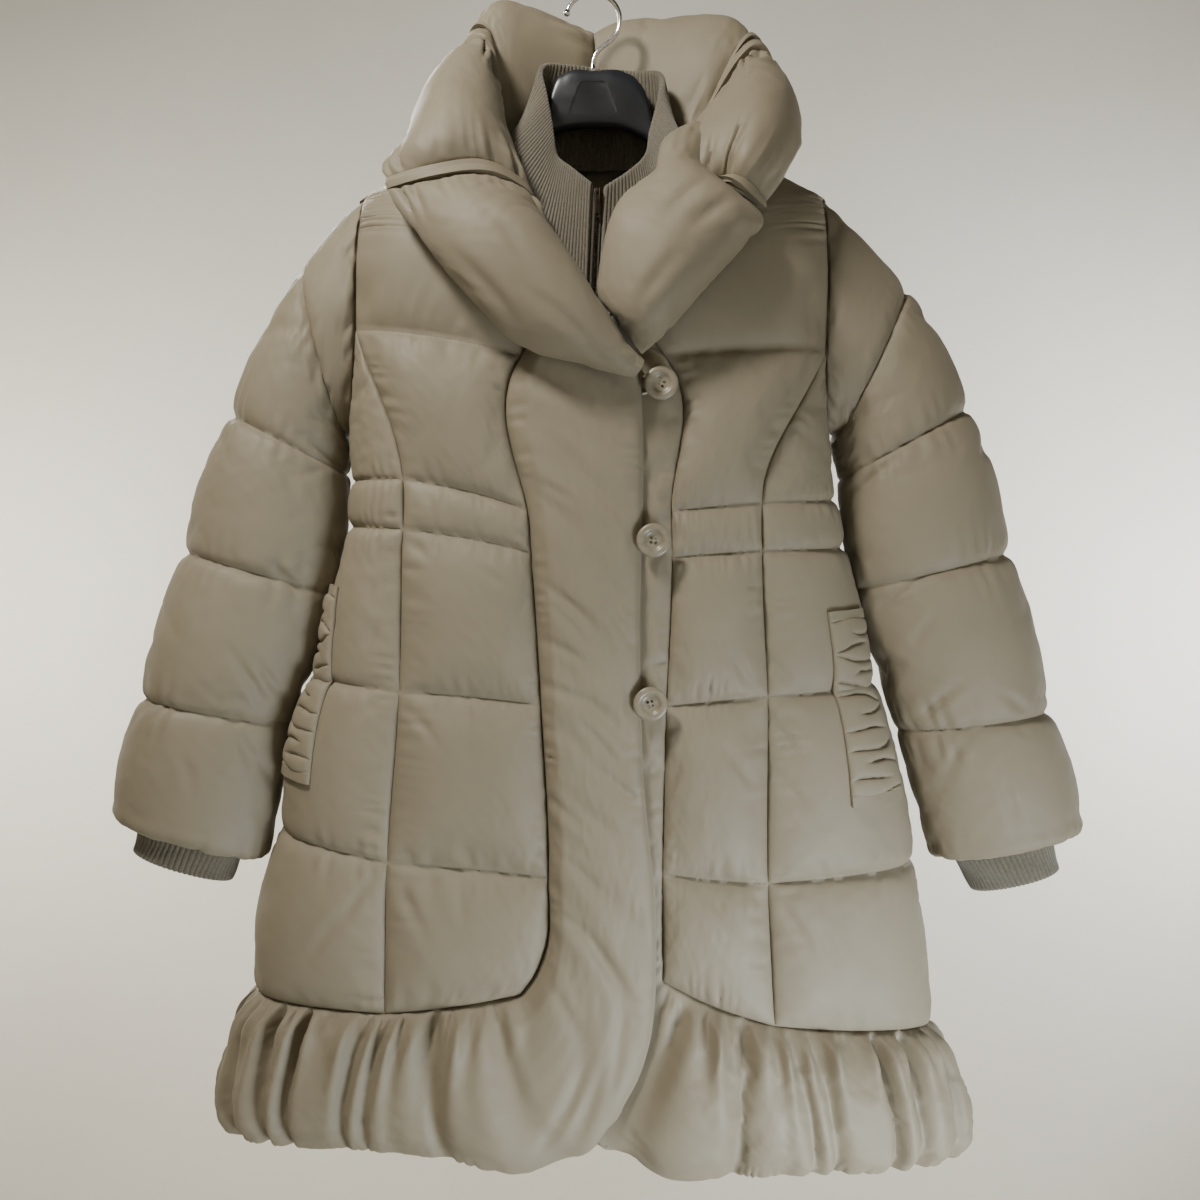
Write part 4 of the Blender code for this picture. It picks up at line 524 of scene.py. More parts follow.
SLEEVE_AWAY = 0.0003         # the sleeve's edge lies this far outside the armhole
SLEEVE_PUFF = (0.006, 0.010, 0.011, 0.011, 0.011)
SLEEVE_BAYS = (0.090, 0.100, 0.120, 0.120, 0.110)   # their lengths along the arm
SLEEVE_POINTS = 64          # points round a sleeve
SLEEVE_LEAST = (0.05, 0.3)  # share of the filling on the arm's inner side: at the top, lower
SLEEVE_TOP_ROWS = 2
SLEEVE_END = 0.55           # how full the last bay still is where it turns in to the cuff
CUFF = {
    "right": Table("row outer_x outer_z inner_x inner_z half_y",
                   (0, -3834, -7245, -2985, -7502, 300),
                   (1, -3911, -7468, -3090, -7735, 280), plain=1),
    "left": Table("row outer_x outer_z inner_x inner_z half_y",
                  (0, 3881, -7322, 3066, -7520, 300),
                  (1, 3967, -7623, 3246, -7820, 280), plain=1),
}
CUFF_WALL = 0.0022
CUFF_MIDDLE_Y = -0.040
CUFF_TUCK = 0.004           # the sleeve's end draws in this far inside the cuff's ring
END_REACH = 0.007           # the sleeve's last bay swells this far beyond its hem


def loop(outer_x, outer_z, inner_x, inner_z, middle_y, half_y, angles, inset=0.0):
    """Oval ring between an outer and an inner point of the outline."""
    outer, inner = np.array([outer_x, middle_y, outer_z]), np.array([inner_x, middle_y, inner_z])
    centre = (outer + inner) / 2
    arm = (outer - inner) / 2
    length = np.linalg.norm(arm)
    arm = arm * (length - inset) / length
    depth = np.array([0, -(half_y - inset), 0])
    return centre + np.cos(angles)[:, None] * arm + np.sin(angles)[:, None] * depth


def sleeve_ring(side, row, angles):
    """Ring of a sleeve's form at a place between its quilting rows; row 0 is the armhole."""
    start = body_point(*armhole(side, angles))
    ring = loop(*SLEEVE[side].after_first(max(row, 1.0)), angles, SLEEVE_PAD)
    if row >= 1:
        return ring
    # Below the arm the sleeve first runs clear of the side panels, then turns down.
    under = ((1 - np.cos(angles)) / 2)[:, None] ** 2
    clear = np.array([SIGN[side], 0, 0]) * UNDERARM_CLEAR * math.sin(math.pi * row) ** 0.5
    return start + (ring - start) * row + clear * under


def cuff_ring(side, row, angles, inset=0.0):
    """Ring of a knit cuff, between its sleeve at row 0 and its open end at row 1."""
    *outline, half_y = CUFF[side].after_first(row)
    return loop(*outline, CUFF_MIDDLE_Y, half_y, angles, inset)


def sleeve(side):
    angles = np.linspace(0, 2 * np.pi, SLEEVE_POINTS, endpoint=False)
    rows = fine_rows(SLEEVE_BAYS)
    start = body_point(*armhole(side, angles))
    start_normal = body_normal(*armhole(side, angles))
    start_normal[0] = unit(start_normal[1] + start_normal[-1])
    away = np.array([SIGN[side], 0, 0]) * SLEEVE_AWAY
    inward = unit((armhole_centre(side) - start) * (0, 1, 1)) * SEAM_WALL
    height = bay_height(rows, range(6), SLEEVE_PUFF)
    height = np.where(rows > 4.5, np.maximum(height, SLEEVE_PUFF[-1] * SLEEVE_END), height)
    outer, inner = [], []
    for row, full in zip(rows, height):
        least = SLEEVE_LEAST[0 if row < SLEEVE_TOP_ROWS else 1]
        keep = (least + (1 - least) * (1 + np.cos(angles)) / 2)[:, None]
        base = sleeve_ring(side, row, angles)
        outward = unit(base - base.mean(0))
        if row == 0:
            outer.append(start + start_normal * SEAM_WALL + away)
            inner.append(start + inward + away)
        else:
            outer.append(base + outward * (SEAM_WALL + START_PUFF * full * keep))
            inner.append(base)
    sewn = is_seam(rows, range(5))[:, None].repeat(len(angles), 1)
    last, hem = SLEEVE[side].after_first(4.0), SLEEVE[side].after_first(5.0)
    axis = unit(np.array([hem[0] + hem[2], 0, hem[1] + hem[3]])
                - np.array([last[0] + last[2], 0, last[1] + last[3]]))
    flange = cuff_ring(side, 0.0, angles, CUFF_TUCK)
    round_end = loop(*hem, angles) + axis * END_REACH
    for share in (0.0, 0.33, 0.67, 1.0):
        outer.append(round_end + (flange - round_end) * share)
        inner.append(inner[len(rows) - 1] + (flange - axis * 0.0025 - inner[len(rows) - 1]) * share
                     - axis * 0.004 * (1 - share))
    extra = np.zeros((4, len(angles)), bool)
    extra[-1] = True
    return Pad("sleeve_" + side, np.array(outer), np.array(inner), np.concatenate([sewn, extra]),
               closed=True, fill=0.7, surplus=SLEEVE_SURPLUS, pucker=SLEEVE_PUCKER)


# ---------------------------------------------------------------- placket bands and balloon hem

# The overlapping front edge, and the hidden edge of the underlap.
FRONT_EDGE = {
    "right": Table("z x", (-9670, 102), (-9395, 220), (-9157, 355), (-8920, 440), (-8603, 490),
                   (-8207, 505), (-7732, 497), (-7336, 458), (-6940, 418), (-6307, 387),
                   (-5674, 379), (-5040, 387), (-4565, 402), (-4011, 402), (-3540, 379), plain=0),
    "left": Table("z x", (-9720, -60), (-8600, -100), (-3300, -120), plain=0),
}
BUTTONS = ((0.0545, -0.3647), (0.0482, -0.4890), (0.0458, -0.6172))
EDGE_TOP = {"right": -0.3540, "left": -0.3300}
EDGE_HEM_START = {"right": -0.9450, "left": -0.9400}    # edge height level with the hem's corner
# Height of the hem's lowest line, by turn from the centre front round to the back.
HEM_BOTTOM = {
    "right": Table("turn z", (0, -9700), (0.04, -9760), (0.085, -9880), (0.12, -9850),
                   (0.19, -9780), (0.25, -9880), (0.5, -10000), plain=1),
    "left": Table("turn z", (0, -9700), (0.04, -9740), (0.09, -9930), (0.15, -9970), (0.2, -10000),
                  (0.25, -10070), (0.5, -10000), plain=1),
}
# Profile of the balloon hem: share of its drop, how far it stands off the coat's form, and how
# strongly it is gathered there.
BALLOON = Table(
    "part   drop   out    gather",
    (0.00, 0.000, 0.000, 0.0),
    (0.14, 0.130, 0.006, 1.0),
    (0.36, 0.380, 0.009, 0.9),
    (0.62, 0.700, 0.009, 0.8),
    (0.86, 0.930, 0.003, 0.7),
    (0.965, 1.000, -0.008, 0.4),
    (1.00, 0.965, -0.024, 0.0),
)
STRIP_PARTS = np.concatenate([np.linspace(0, 0.86, 27), [0.91, 0.965, 1.0]])
GATHER_DEPTH = 0.0115
FRONT_GATHERS = 8
BACK_GATHERS = 16
FINE_GATHERS = 0.95         # strength of the finer gathers beside the pillows
FINE_REACH = 0.28           # share of the drop over which they die away
BAND_LIFT = 0.0070          # the overlap's inner face lies this far off the underlap's
BAND_WALL = {"right": 0.0032, "left": 0.0034}
BAND_FULL = {"right": 0.0090, "left": 0.0006}
BAND_FOLDS = (0.050, 0.031)     # spacing of the slanting folds along the placket
BAND_SMOOTH = 0.060         # height over which the placket evens out the form below it
BUTTON_DENT = (0.012, 0.022)    # no filling this near a button's middle, and full this far out
UNDER_EASE = 0.030          # the underlap fills out this far beyond the overlap's edge
CORNER_LEAD = {"right": 0.068, "left": 0.062}    # how far the hem's corner runs ahead of its seam
CORNER_SHARE = 0.22         # share of the hem seam over which the corner catches up
HEM_SETTLE = {"right": (0.02, 0.11), "left": (0.00, 0.08)}   # where the balloon swells to full
HEM_POINTS = {"front": 89, "back": 137}     # points along a hem seam
SEAM_SETTLE = (0.02, 0.65)  # share of a hem seam over which the balloon swells, and its least
LIFT_FADE = (0.08, 0.14)    # where along the hem seam the overlap's lift fades, and how fast
BAND_RISE = 0.14            # share across a band over which it rises from its seam
HEM_TURN_Z = -0.93          # below this height the hem's way out is that of this height
OVERLAP_FOOT = (-0.967, 2.2)    # the overlap's edge below its lowest height, and its slant there


def hem_wave(folds, place, part):
    """Uneven pillows with sharp valleys between them, and finer gathers close to the seam."""
    lean = 0.5 * part * np.sin(1.1 * folds * place + 0.5)
    drift = 0.30 * np.sin(1.9 * folds * place) + 0.22 * np.sin(3.3 * folds * place + 1)
    pillow = 2 * np.abs(np.sin(np.pi * (folds * place + drift + lean))) ** 0.7 - 1
    strength = 0.8 + 0.2 * np.sin(1.3 * folds * place + 0.6)
    fine = np.sin(2 * np.pi * (2.3 * folds * place + 1.7 * drift))
    return pillow * strength + FINE_GATHERS * fine * np.exp(-part / FINE_REACH)


def beyond_overlap(points):
    """How far points lie outside the overlap's edge, 0 to 1."""
    edge = FRONT_EDGE["right"].at("x", points[..., 2])
    foot, slant = OVERLAP_FOOT
    edge = edge + slant * np.clip(points[..., 2] - foot, -0.05, 0)
    return np.clip((points[..., 0] - edge) / UNDER_EASE, 0, 1)


def near_button(points):
    """0 on a button, 1 away from it."""
    gap = np.min([np.hypot(points[..., 0] - x, points[..., 2] - z) for x, z in BUTTONS], axis=0)
    near, far = BUTTON_DENT
    return np.clip((gap - near) / (far - near), 0, 1)


def band_filling(side, down, part):
    """Height of the placket's filling, with soft folds that slant across it."""
    wide, narrow = BAND_FOLDS
    drift = 0.35 * np.sin(down / 0.09 + 1)
    first = np.abs(np.sin(np.pi * ((down - 0.09 * part) / wide + drift))) ** 0.8
    second = np.abs(np.sin(np.pi * ((down - 0.05 * part) / narrow + 1.4 * drift))) ** 0.8
    return BAND_FULL[side] * swell(part, 0.5) * (0.66 + 0.30 * first + 0.16 * second)


def hem_grid(side, seam_outer, seam_inner, gathers, count):
    """The balloon hem: a row at each place along the hem seam, from the seam down and under."""
    place = np.linspace(0, 1, count)
    top_outer, top_inner = along(seam_outer, place), along(seam_inner, place)
    turn = point_turn(top_inner)
    lead, lift = 0 * place, 0 * place
    run_in, least = SEAM_SETTLE
    settle = np.clip(np.minimum(place, 1 - place) / run_in, least, 1)
    if side == "back":
        turn = np.where(turn < 0, turn + 1, turn)
        bottom = np.where(turn < 0.5, HEM_BOTTOM["left"].at("z", turn),
                          HEM_BOTTOM["right"].at("z", 1 - turn))
    else:
        corner = (1 - np.clip(place / CORNER_SHARE, 0, 1)) ** 1.5
        lead = -SIGN[side] * CORNER_LEAD[side] * corner
        start, full = HEM_SETTLE[side]
        settle = np.clip((place - start) / (full - start), 0, 1)
        settle = settle * np.clip((1 - place) / run_in, least, 1)
        start, run_out = LIFT_FADE
        lift = BAND_LIFT * (1 - np.clip((place - start) / run_out, 0, 1)) * (side == "right")
    outer, inner = [], []
    for part in STRIP_PARTS:
        wave = hem_wave(gathers, place, part)
        if part == 0:
            outer.append(top_outer)
            inner.append(top_inner)
            continue
        drop, out = float(BALLOON.at("drop", part)), float(BALLOON.at("out", part))
        shifted = turn
        if side != "back":
            shifted = turn_at_x(top_inner[:, 0] + lead * drop, top_inner[:, 2])
            shifted = np.where(place < CORNER_SHARE, shifted, turn)
            bottom = HEM_BOTTOM[side].at("z", np.abs(shifted))
        z = top_inner[:, 2] + (bottom - top_inner[:, 2]) * drop
        base = body_point(shifted, z)
        normal = unit(body_normal(shifted, np.maximum(z, HEM_TURN_Z)) * (1, 1, 0))
        swelling = settle * (beyond_overlap(base) if side == "left" else 1.0)
        gather = GATHER_DEPTH * float(BALLOON.at("gather", part)) * swelling
        rise = lift * min(part / BAND_RISE, 1.0) + out * swelling
        if side == "right":
            corner_down = RUNGS[side]["placket"][-1] - RUNGS[side]["placket"][0] + 0.33 * place
            rise = rise + band_filling(side, corner_down, part) * (1 - settle)
        under = 1.0 if part < 0.9 else 0.25
        outer.append(base + normal * (rise + SEAM_WALL + gather * wave)[:, None])
        inner.append(base + normal * (rise - gather * under - 0.0003)[:, None]
                     + (0, 0, 0.0035 * float(np.clip((part - 0.86) / 0.1, 0, 1))))
    return np.transpose(outer, (1, 0, 2)), np.transpose(inner, (1, 0, 2))


def band_front(side):
    """The placket or underlap: rows from its seam to its edge, from the neckline down."""
    rows = fine_rows(np.diff(RUNGS[side]["placket"]))[::-1]
    seam_turn, seam_z = placket_line(side, rows)
    level = np.minimum(seam_z, EDGE_TOP[side] + 0.004 * np.clip(rows - 5, 0, 1))
    low = RUNGS[side]["placket"][1]
    level = np.where(rows < 1, low + (EDGE_HEM_START[side] - low) * (1 - rows), level)
    edge_turn = turn_at_x(FRONT_EDGE[side].at("x", level), level)
    part, rising = STRIP_PARTS, np.clip(STRIP_PARTS / BAND_RISE, 0, 1)
    outer, inner = [], []
    for k in range(len(rows)):
        turn = seam_turn[k] + (edge_turn[k] - seam_turn[k]) * part
        z = seam_z[k] + (level[k] - seam_z[k]) * part
        base, normal = body_point(turn, z), body_normal(turn, z)
        rise = BAND_LIFT * rising * (side == "right")
        if side == "right":
            around = np.linspace(-BAND_SMOOTH, BAND_SMOOTH, 9)[:, None]
            even = body_point(turn, z + around)[..., 1].mean(0)
            rise = rise + np.maximum(base[:, 1] - even, 0) * rising
        full = band_filling(side, seam_z[0] - seam_z[k], part) * near_button(base)
        thick = SEAM_WALL + (BAND_WALL[side] - SEAM_WALL) * rising
        thick = np.where(part == 1.0, 0.6 * thick, thick)
        outer.append(base + normal * (rise + thick + full)[:, None])
        inner.append(base + normal * (rise + 0.0008 * (part == 1.0))[:, None])
    return np.array(outer), np.array(inner)


def front_band(side, centre, side_panel):
    """Placket or underlap, cut in one with its half of the balloon hem: one long strip."""
    down_outer, down_inner = band_front(side)
    seam_outer = np.concatenate([centre.outer[0], side_panel.outer[0]])
    seam_inner = np.concatenate([centre.inner[0], side_panel.inner[0]])
    hem_outer, hem_inner = hem_grid(side, seam_outer, seam_inner, FRONT_GATHERS,
                                    HEM_POINTS["front"])
    outer = np.concatenate([down_outer, hem_outer[1:]])
    inner = np.concatenate([down_inner, hem_inner[1:]])
    free = near_button(outer) if side == "right" else beyond_overlap(outer)
    return Pad("front_band_" + side, outer, inner, **BAND_CLOTH,
               most=LEAST_MOVE + (MOST_MOVE - LEAST_MOVE) * free)


def back_hem(back):
    outer, inner = hem_grid("back", back.outer[0], back.inner[0], BACK_GATHERS,
                            HEM_POINTS["back"])
    return Pad("hem_back", outer, inner, **BAND_CLOTH)


# ---------------------------------------------------------------- shawl collar

# Cross-sections from the front corner round to the centre back: whether the neck seam is behind,
# its x and z, then the crest where the collar folds over, the middle of its fall, its free edge,
# and its thickness.
COLLAR_NAMES = "row behind neck_x neck_z cx cy cz fx fy fz ex ey ez full"
COLLAR = {
    "right": (
        (0, 0, 340, -3500, 390, -1330, -3515, 370, -1350, -3570, 330, -1325, -3615, 60),
        (1, 0, 220, -3380, 200, -1390, -3350, 80, -1430, -3445, -56, -1320, -3540, 110),
        (2, 0, -20, -3060, -110, -1450, -2975, -330, -1500, -3200, -567, -1300, -3400, 180),
        (3, 0, -222, -2635, -500, -1420, -2525, -800, -1460, -2750, -1076, -1260, -2920, 240),
        (4, 0, -360, -2370, -720, -1320, -2270, -1055, -1380, -2400, -1388, -1190, -2490, 200),
        (5, 0, -480, -2110, -840, -1180, -2010, -1230, -1240, -2060, -1623, -1080, -2085, 75),
        (6, 0, -510, -2030, -880, -1130, -1900, -1270, -1190, -1960, -1649, -1020, -1985, 75),
        (6.5, 0, -550, -1920, -930, -1110, -1760, -1300, -1150, -1780, -1690, -860, -1830, 190),
        (7, 0, -600, -1790, -960, -1060, -1560, -1260, -1040, -1520, -1560, -720, -1640, 180),
        (8, 0, -690, -1530, -980, -800, -1220, -1260, -620, -1050, -1540, -150, -1420, 190),
        (9, 0, -760, -1320, -960, -480, -900, -1150, -220, -680, -1520, 240, -1160, 220),
        (10, 0, -800, -1283, -930, -140, -560, -1100, 140, -400, -1340, 440, -880, 75),
        (11, 1, -780, -1310, -960, 60, -350, -1070, 310, -270, -1270, 600, -800, 75),
        (12, 1, -600, -1320, -840, 220, -130, -880, 520, -100, -980, 820, -860, 220),
        (13, 1, -300, -1320, -460, 400, -150, -470, 680, -120, -500, 920, -940, 240),
        (14, 1, 0, -1320, 10, 480, -240, 10, 720, -210, 10, 920, -980, 100)),
    "left": (
        (0, 0, 190, -3010, 150, -1190, -3060, 270, -1215, -3240, 400, -1210, -3410, 50),
        (1, 0, 240, -2900, 110, -1200, -2930, 350, -1380, -3120, 630, -1260, -3230, 160),
        (2, 0, 310, -2606, 240, -1180, -2420, 560, -1420, -2760, 900, -1260, -2960, 240),
        (3, 0, 420, -2370, 400, -1060, -2130, 820, -1380, -2440, 1237, -1210, -2570, 240),
        (4, 0, 540, -2103, 960, -1000, -2030, 1120, -1240, -2100, 1370, -1100, -2230, 75),
        (5, 0, 570, -2030, 1030, -1020, -2000, 1170, -1200, -2050, 1380, -1040, -2160, 75),
        (5.3, 0, 600, -1950, 1090, -1060, -1880, 1230, -1230, -1950, 1460, -1020, -2060, 180),
        (6, 0, 670, -1790, 1160, -1000, -1600, 1380, -1090, -1640, 1690, -740, -1710, 200),
        (7, 0, 780, -1550, 1270, -740, -1260, 1520, -670, -1160, 1770, -160, -1480, 210),
        (8, 0, 850, -1390, 1310, -420, -960, 1500, -270, -780, 1720, 200, -1160, 200),
        (9, 0, 900, -1334, 1330, -80, -640, 1520, 120, -490, 1680, 420, -910, 75),
        (10, 1, 880, -1350, 1330, 80, -450, 1460, 300, -350, 1580, 600, -820, 75),
        (11, 1, 760, -1330, 1180, 220, -260, 1220, 530, -210, 1280, 820, -880, 220),
        (12, 1, 520, -1320, 720, 380, -190, 740, 670, -150, 760, 910, -940, 240),
        (13, 1, 240, -1320, 320, 460, -190, 320, 710, -160, 340, 920, -970, 220),
        (14, 1, 0, -1320, 10, 480, -240, 10, 720, -210, 10, 920, -980, 100)),
    # The left lapel, whose inner half runs on up behind the strap as a soft roll.
    "left_lapel": (
        (3, 0, 420, -2370, 370, -1080, -2150, 800, -1360, -2430, 1237, -1210, -2570, 230),
        (3.9, 0, 530, -2130, 560, -1100, -1950, 960, -1240, -2130, 1350, -1120, -2270, 130),
        (4.3, 0, 551, -2077, 610, -1020, -1850, 880, -960, -1930, 1180, -780, -2030, 170),
        (4.7, 0, 575, -2010, 670, -920, -1650, 930, -850, -1680, 1220, -670, -1720, 190),
        (5.1, 0, 640, -1850, 760, -780, -1490, 980, -710, -1440, 1220, -560, -1410, 130)),
}
COLLAR["left_lapel"] = COLLAR["left"][:3] + COLLAR["left_lapel"]
COLLAR = {name: Table(COLLAR_NAMES, *rows, plain=2) for name, rows in COLLAR.items()}
# Each piece of the collar: first and last section, and its points along the collar.
COLLAR_PIECES = {
    "right": (("collar_lapel", 0, 5, 56), ("collar_strap_front", 5, 6, 5),
              ("collar_upper", 6, 10, 40), ("collar_strap_back", 10, 11, 5),
              ("collar_back", 11, 14, 32)),
    "left": (("collar_lapel", 0, 5.1, 58), ("collar_strap_front", 4, 5, 5),
             ("collar_upper", 5, 9, 40), ("collar_strap_back", 9, 10, 5),
             ("collar_back", 10, 14, 40)),
}
COLLAR_LAST = 14            # the section at the centre back seam
COLLAR_ACROSS = 27          # points across each face of the collar
COLLAR_SEAM_EDGE = 0.004    # thickness at the neck seam
COLLAR_FREE_EDGE = 0.006    # thickness at the free edge
COLLAR_SEAT = 0.0005        # the neck seam's clearance over the panels
COLLAR_OVER_BAND = 0.0100   # more clearance where the right lapel crosses the placket
STRAP_FULL = 0.0150
COLLAR_CLOTH = {"closed": True, "fill": 0.8, "most": 0.005, "pucker": GATHERED}
COLLAR_KNOTS = (0.0, 0.34, 0.66, 1.0)   # shares of a section at its seam, crest, fall and edge


def collar_section(shape, row, part):
    """Middle line of the collar's cross-section from the neck seam over the crest to the edge."""
    table = COLLAR[shape]
    x, z = float(table.at("neck_x", row)), float(table.at("neck_z", row))
    behind = table.at("behind", row) > 0.5
    z = min(z, float(shoulder_z(x)) - 0.0002)
    turn = turn_at_x(x, z, back=behind)
    seat = SEAM_WALL + COLLAR_SEAM_EDGE / 2 + COLLAR_SEAT
    if shape == "right":
        seat += COLLAR_OVER_BAND * float(np.clip(2.6 - row, 0, 1))
    neck = body_point(turn, z) + body_normal(turn, z) * seat
    knots = np.array(COLLAR_KNOTS)
    points = np.array([neck] + [table.vector(name, row) for name in "cfe"])
    return np.stack([smooth_between(knots, points[:, k], part) for k in range(3)], -1)


def collar_pad(side, name, first, last, count):
    """One segment of the puffed collar: a closed tube round its middle line."""
    strap = "strap" in name
    shape = "left_lapel" if (side, name) == ("left", "collar_lapel") else side
    rows = np.linspace(first, last, count)
    part = np.linspace(0, 1, COLLAR_ACROSS)
    middle = np.array([collar_section(shape, row, part) for row in rows])
    across = np.gradient(middle, axis=1)
    step = 0.02
    forward = np.array([collar_section(shape, row + step, part)
                        - collar_section(shape, row - step, part) for row in rows])
    if last == COLLAR_LAST:
        forward[-1] = (-SIGN[side], 0, 0)
    forward = unit(forward.mean(1, keepdims=True))
    normal = unit(np.cross(across, forward)) * SIGN[side]
    crown = (4 * part * (1 - part)) ** 0.45
    edge = COLLAR_SEAM_EDGE + (COLLAR_FREE_EDGE - COLLAR_SEAM_EDGE) * part
    full = np.full(len(rows), STRAP_FULL) if strap else COLLAR[shape].at("full", rows)
    thick = edge + (full[:, None] - edge) * crown
    outer = middle + normal * (thick / 2)[..., None]
    inner = middle - normal * (thick / 2)[..., None]
    ring = np.concatenate([outer, inner[:, ::-1]], axis=1)
    return Pad(f"{name}_{side}", ring, None, simulated=not strap, plain_start="lapel" in name,
               **COLLAR_CLOTH)


# ---------------------------------------------------------------- pockets

# Pocket welts on the side fronts: quilting rows and shares across at their corners.
POCKET = {
    "right": {"rows": (2.60, 1.38), "top": (0.52, 0.76), "bottom": (0.46, 0.76)},
    "left": {"rows": (2.55, 1.38), "top": (0.37, 0.68), "bottom": (0.41, 0.71)},
}
POCKET_WALL = 0.0034
POCKET_SWELL = 0.0042       # how far the ruched cloth stands up between its creases
POCKET_CREASE_WIDTH = 0.011
POCKET_TAB = 0.055          # share of the welt that each flat end tab takes
# Creases: where each lies along the welt, how it slants, and where across it starts and ends.
POCKET_CREASES = Table(
    "place slope start end",
    (0.055, 0.00, -1.0, 2.0),
    (0.130, 0.05, 0.35, 2.0),
    (0.215, -0.04, -1.0, 0.8),
    (0.290, 0.06, -1.0, 2.0),
    (0.375, -0.03, 0.30, 2.0),
    (0.430, 0.02, -1.0, 0.7),
    (0.520, 0.05, -1.0, 2.0),
    (0.585, -0.05, 0.25, 2.0),
    (0.665, 0.03, -1.0, 0.9),
    (0.745, -0.04, -1.0, 2.0),
    (0.810, 0.05, 0.20, 2.0),
    (0.880, -0.02, -1.0, 0.75),
    (0.945, 0.00, -1.0, 2.0),
)
POCKET_SEAT = 0.0005        # clearance under the welt
POCKET_POINTS = (161, 23)   # points along and across a welt


def pocket_height(run, across):
    """Ruched cloth: soft swellings parted by uneven creases, between two flat end tabs."""
    crease = np.zeros(np.broadcast(run, across).shape)
    for place, slope, start, end in POCKET_CREASES.rows:
        line = place + slope * (across - 0.5) + 0.012 * np.sin(5 * across + 40 * place)
        reach = np.clip((across - start) / 0.25, 0, 1) * np.clip((end - across) / 0.25, 0, 1)
        crease = np.maximum(crease, reach * np.exp(-np.abs(run - line) / POCKET_CREASE_WIDTH))
    edge = swell(across, 0.5)
    height = POCKET_WALL * 0.5 + POCKET_SWELL * edge * (1 - crease) ** 0.8
    tab = (run < POCKET_TAB) | (run > 1 - POCKET_TAB)
    return np.where(tab, POCKET_WALL * (0.7 + 0.3 * swell(across, 0.2)), height)


def pocket(side, shape):
    """Ruched welt that lies on the inflated side panel."""
    rows = fine_rows(np.diff(RUNGS[side]["princess"]))
    columns = np.linspace(0, 1, shape.shape[1])
    place = POCKET[side]
    run, across = (np.linspace(0, 1, count) for count in POCKET_POINTS)
    row = place["rows"][0] + (place["rows"][1] - place["rows"][0]) * run
    low = place["top"][0] + (place["bottom"][0] - place["top"][0]) * run
    high = place["top"][1] + (place["bottom"][1] - place["top"][1]) * run
    share = low[:, None] + (high - low)[:, None] * across
    grid = grid_at(shape, rows, columns, np.broadcast_to(row[:, None], share.shape), share)
    normal = surface_normal(grid, False)
    if normal[60, 9, 1] > 0:
        normal = -normal
    height = pocket_height(run[:, None], across[None, :])
    inner = grid + normal * POCKET_SEAT
    outer = inner + normal * height[..., None]
    return Pad("pocket_" + side, outer, inner, fill=0.4, simulated=False)


def grid_at(grid, rows, columns, row, column):
    """Points of a grid between its rows and columns."""
    r = np.clip(np.searchsorted(rows, row, side="right") - 1, 0, len(rows) - 2)
    c = np.clip(np.searchsorted(columns, column, side="right") - 1, 0, len(columns) - 2)
    u = ((row - rows[r]) / (rows[r + 1] - rows[r]))[..., None]
    v = ((column - columns[c]) / (columns[c + 1] - columns[c]))[..., None]
    low = grid[r, c] * (1 - v) + grid[r, c + 1] * v
    high = grid[r + 1, c] * (1 - v) + grid[r + 1, c + 1] * v
    return low * (1 - u) + high * u


# ---------------------------------------------------------------- cloth simulation and meshes

BODY_NAME = "coat"


def grid_faces(count_r, count_c, closed, first=0, ring=False):
    """Faces of a grid, closed across its columns, and along its rows if it is a ring."""
    def at(row, column):
        return first + row % count_r * count_c + column % count_c

    return [(at(r, c), at(r, c + 1), at(r + 1, c + 1), at(r + 1, c))
            for r in range(count_r if ring else count_r - 1)
            for c in range(count_c if closed else count_c - 1)]


def delete(made):
    """Removes an object and its mesh."""
    mesh = made.data
    bpy.data.objects.remove(made, do_unlink=True)
    bpy.data.meshes.remove(mesh)


def new_object(name, vertices, faces, look):
    mesh = bpy.data.meshes.new(name)
    mesh.from_pydata([tuple(map(float, point)) for point in vertices], [], faces)
    mesh.update()
    if look:
        mesh.materials.append(look)
    made = bpy.data.objects.new(name, mesh)
    bpy.context.scene.collection.objects.link(made)
    return made


def face_out(made):
    """Turns all faces outwards and drops points that no face uses."""
    shaped = bmesh.new()
    shaped.from_mesh(made.data)
    unused = [vertex for vertex in shaped.verts if not vertex.link_faces]
    bmesh.ops.delete(shaped, geom=unused, context="VERTS")
    bmesh.ops.recalc_face_normals(shaped, faces=shaped.faces)
    if shaped.calc_volume(signed=True) < 0:
        bmesh.ops.reverse_faces(shaped, faces=shaped.faces)
    shaped.to_mesh(made.data)
    shaped.free()
    made.data.shade_smooth()
    made.data.set_sharp_from_angle(angle=math.radians(70))


def solid(name, vertices, faces, look):
    """A new object whose faces all point outwards."""
    made = new_object(name, vertices, faces, look)
    face_out(made)
    return made


def sheet_points_out(pad):
    """Whether the grid's faces already point away from the filling."""
    grid, flat = pad.outer, pad.outer.shape[0] // 2
    across = grid[flat, 1] - grid[flat, 0]
    upward = grid[flat + 1, 0] - grid[flat, 0]
    if pad.inner is None:
        out = grid[flat, 0] - grid[flat].mean(0)
    else:
        k = grid.shape[1] // 2
        across, upward = grid[flat, k + 1] - grid[flat, k], grid[flat + 1, k] - grid[flat, k]
        out = grid[flat, k] - pad.inner[flat, k]
    return float(np.dot(np.cross(across, upward), out)) > 0


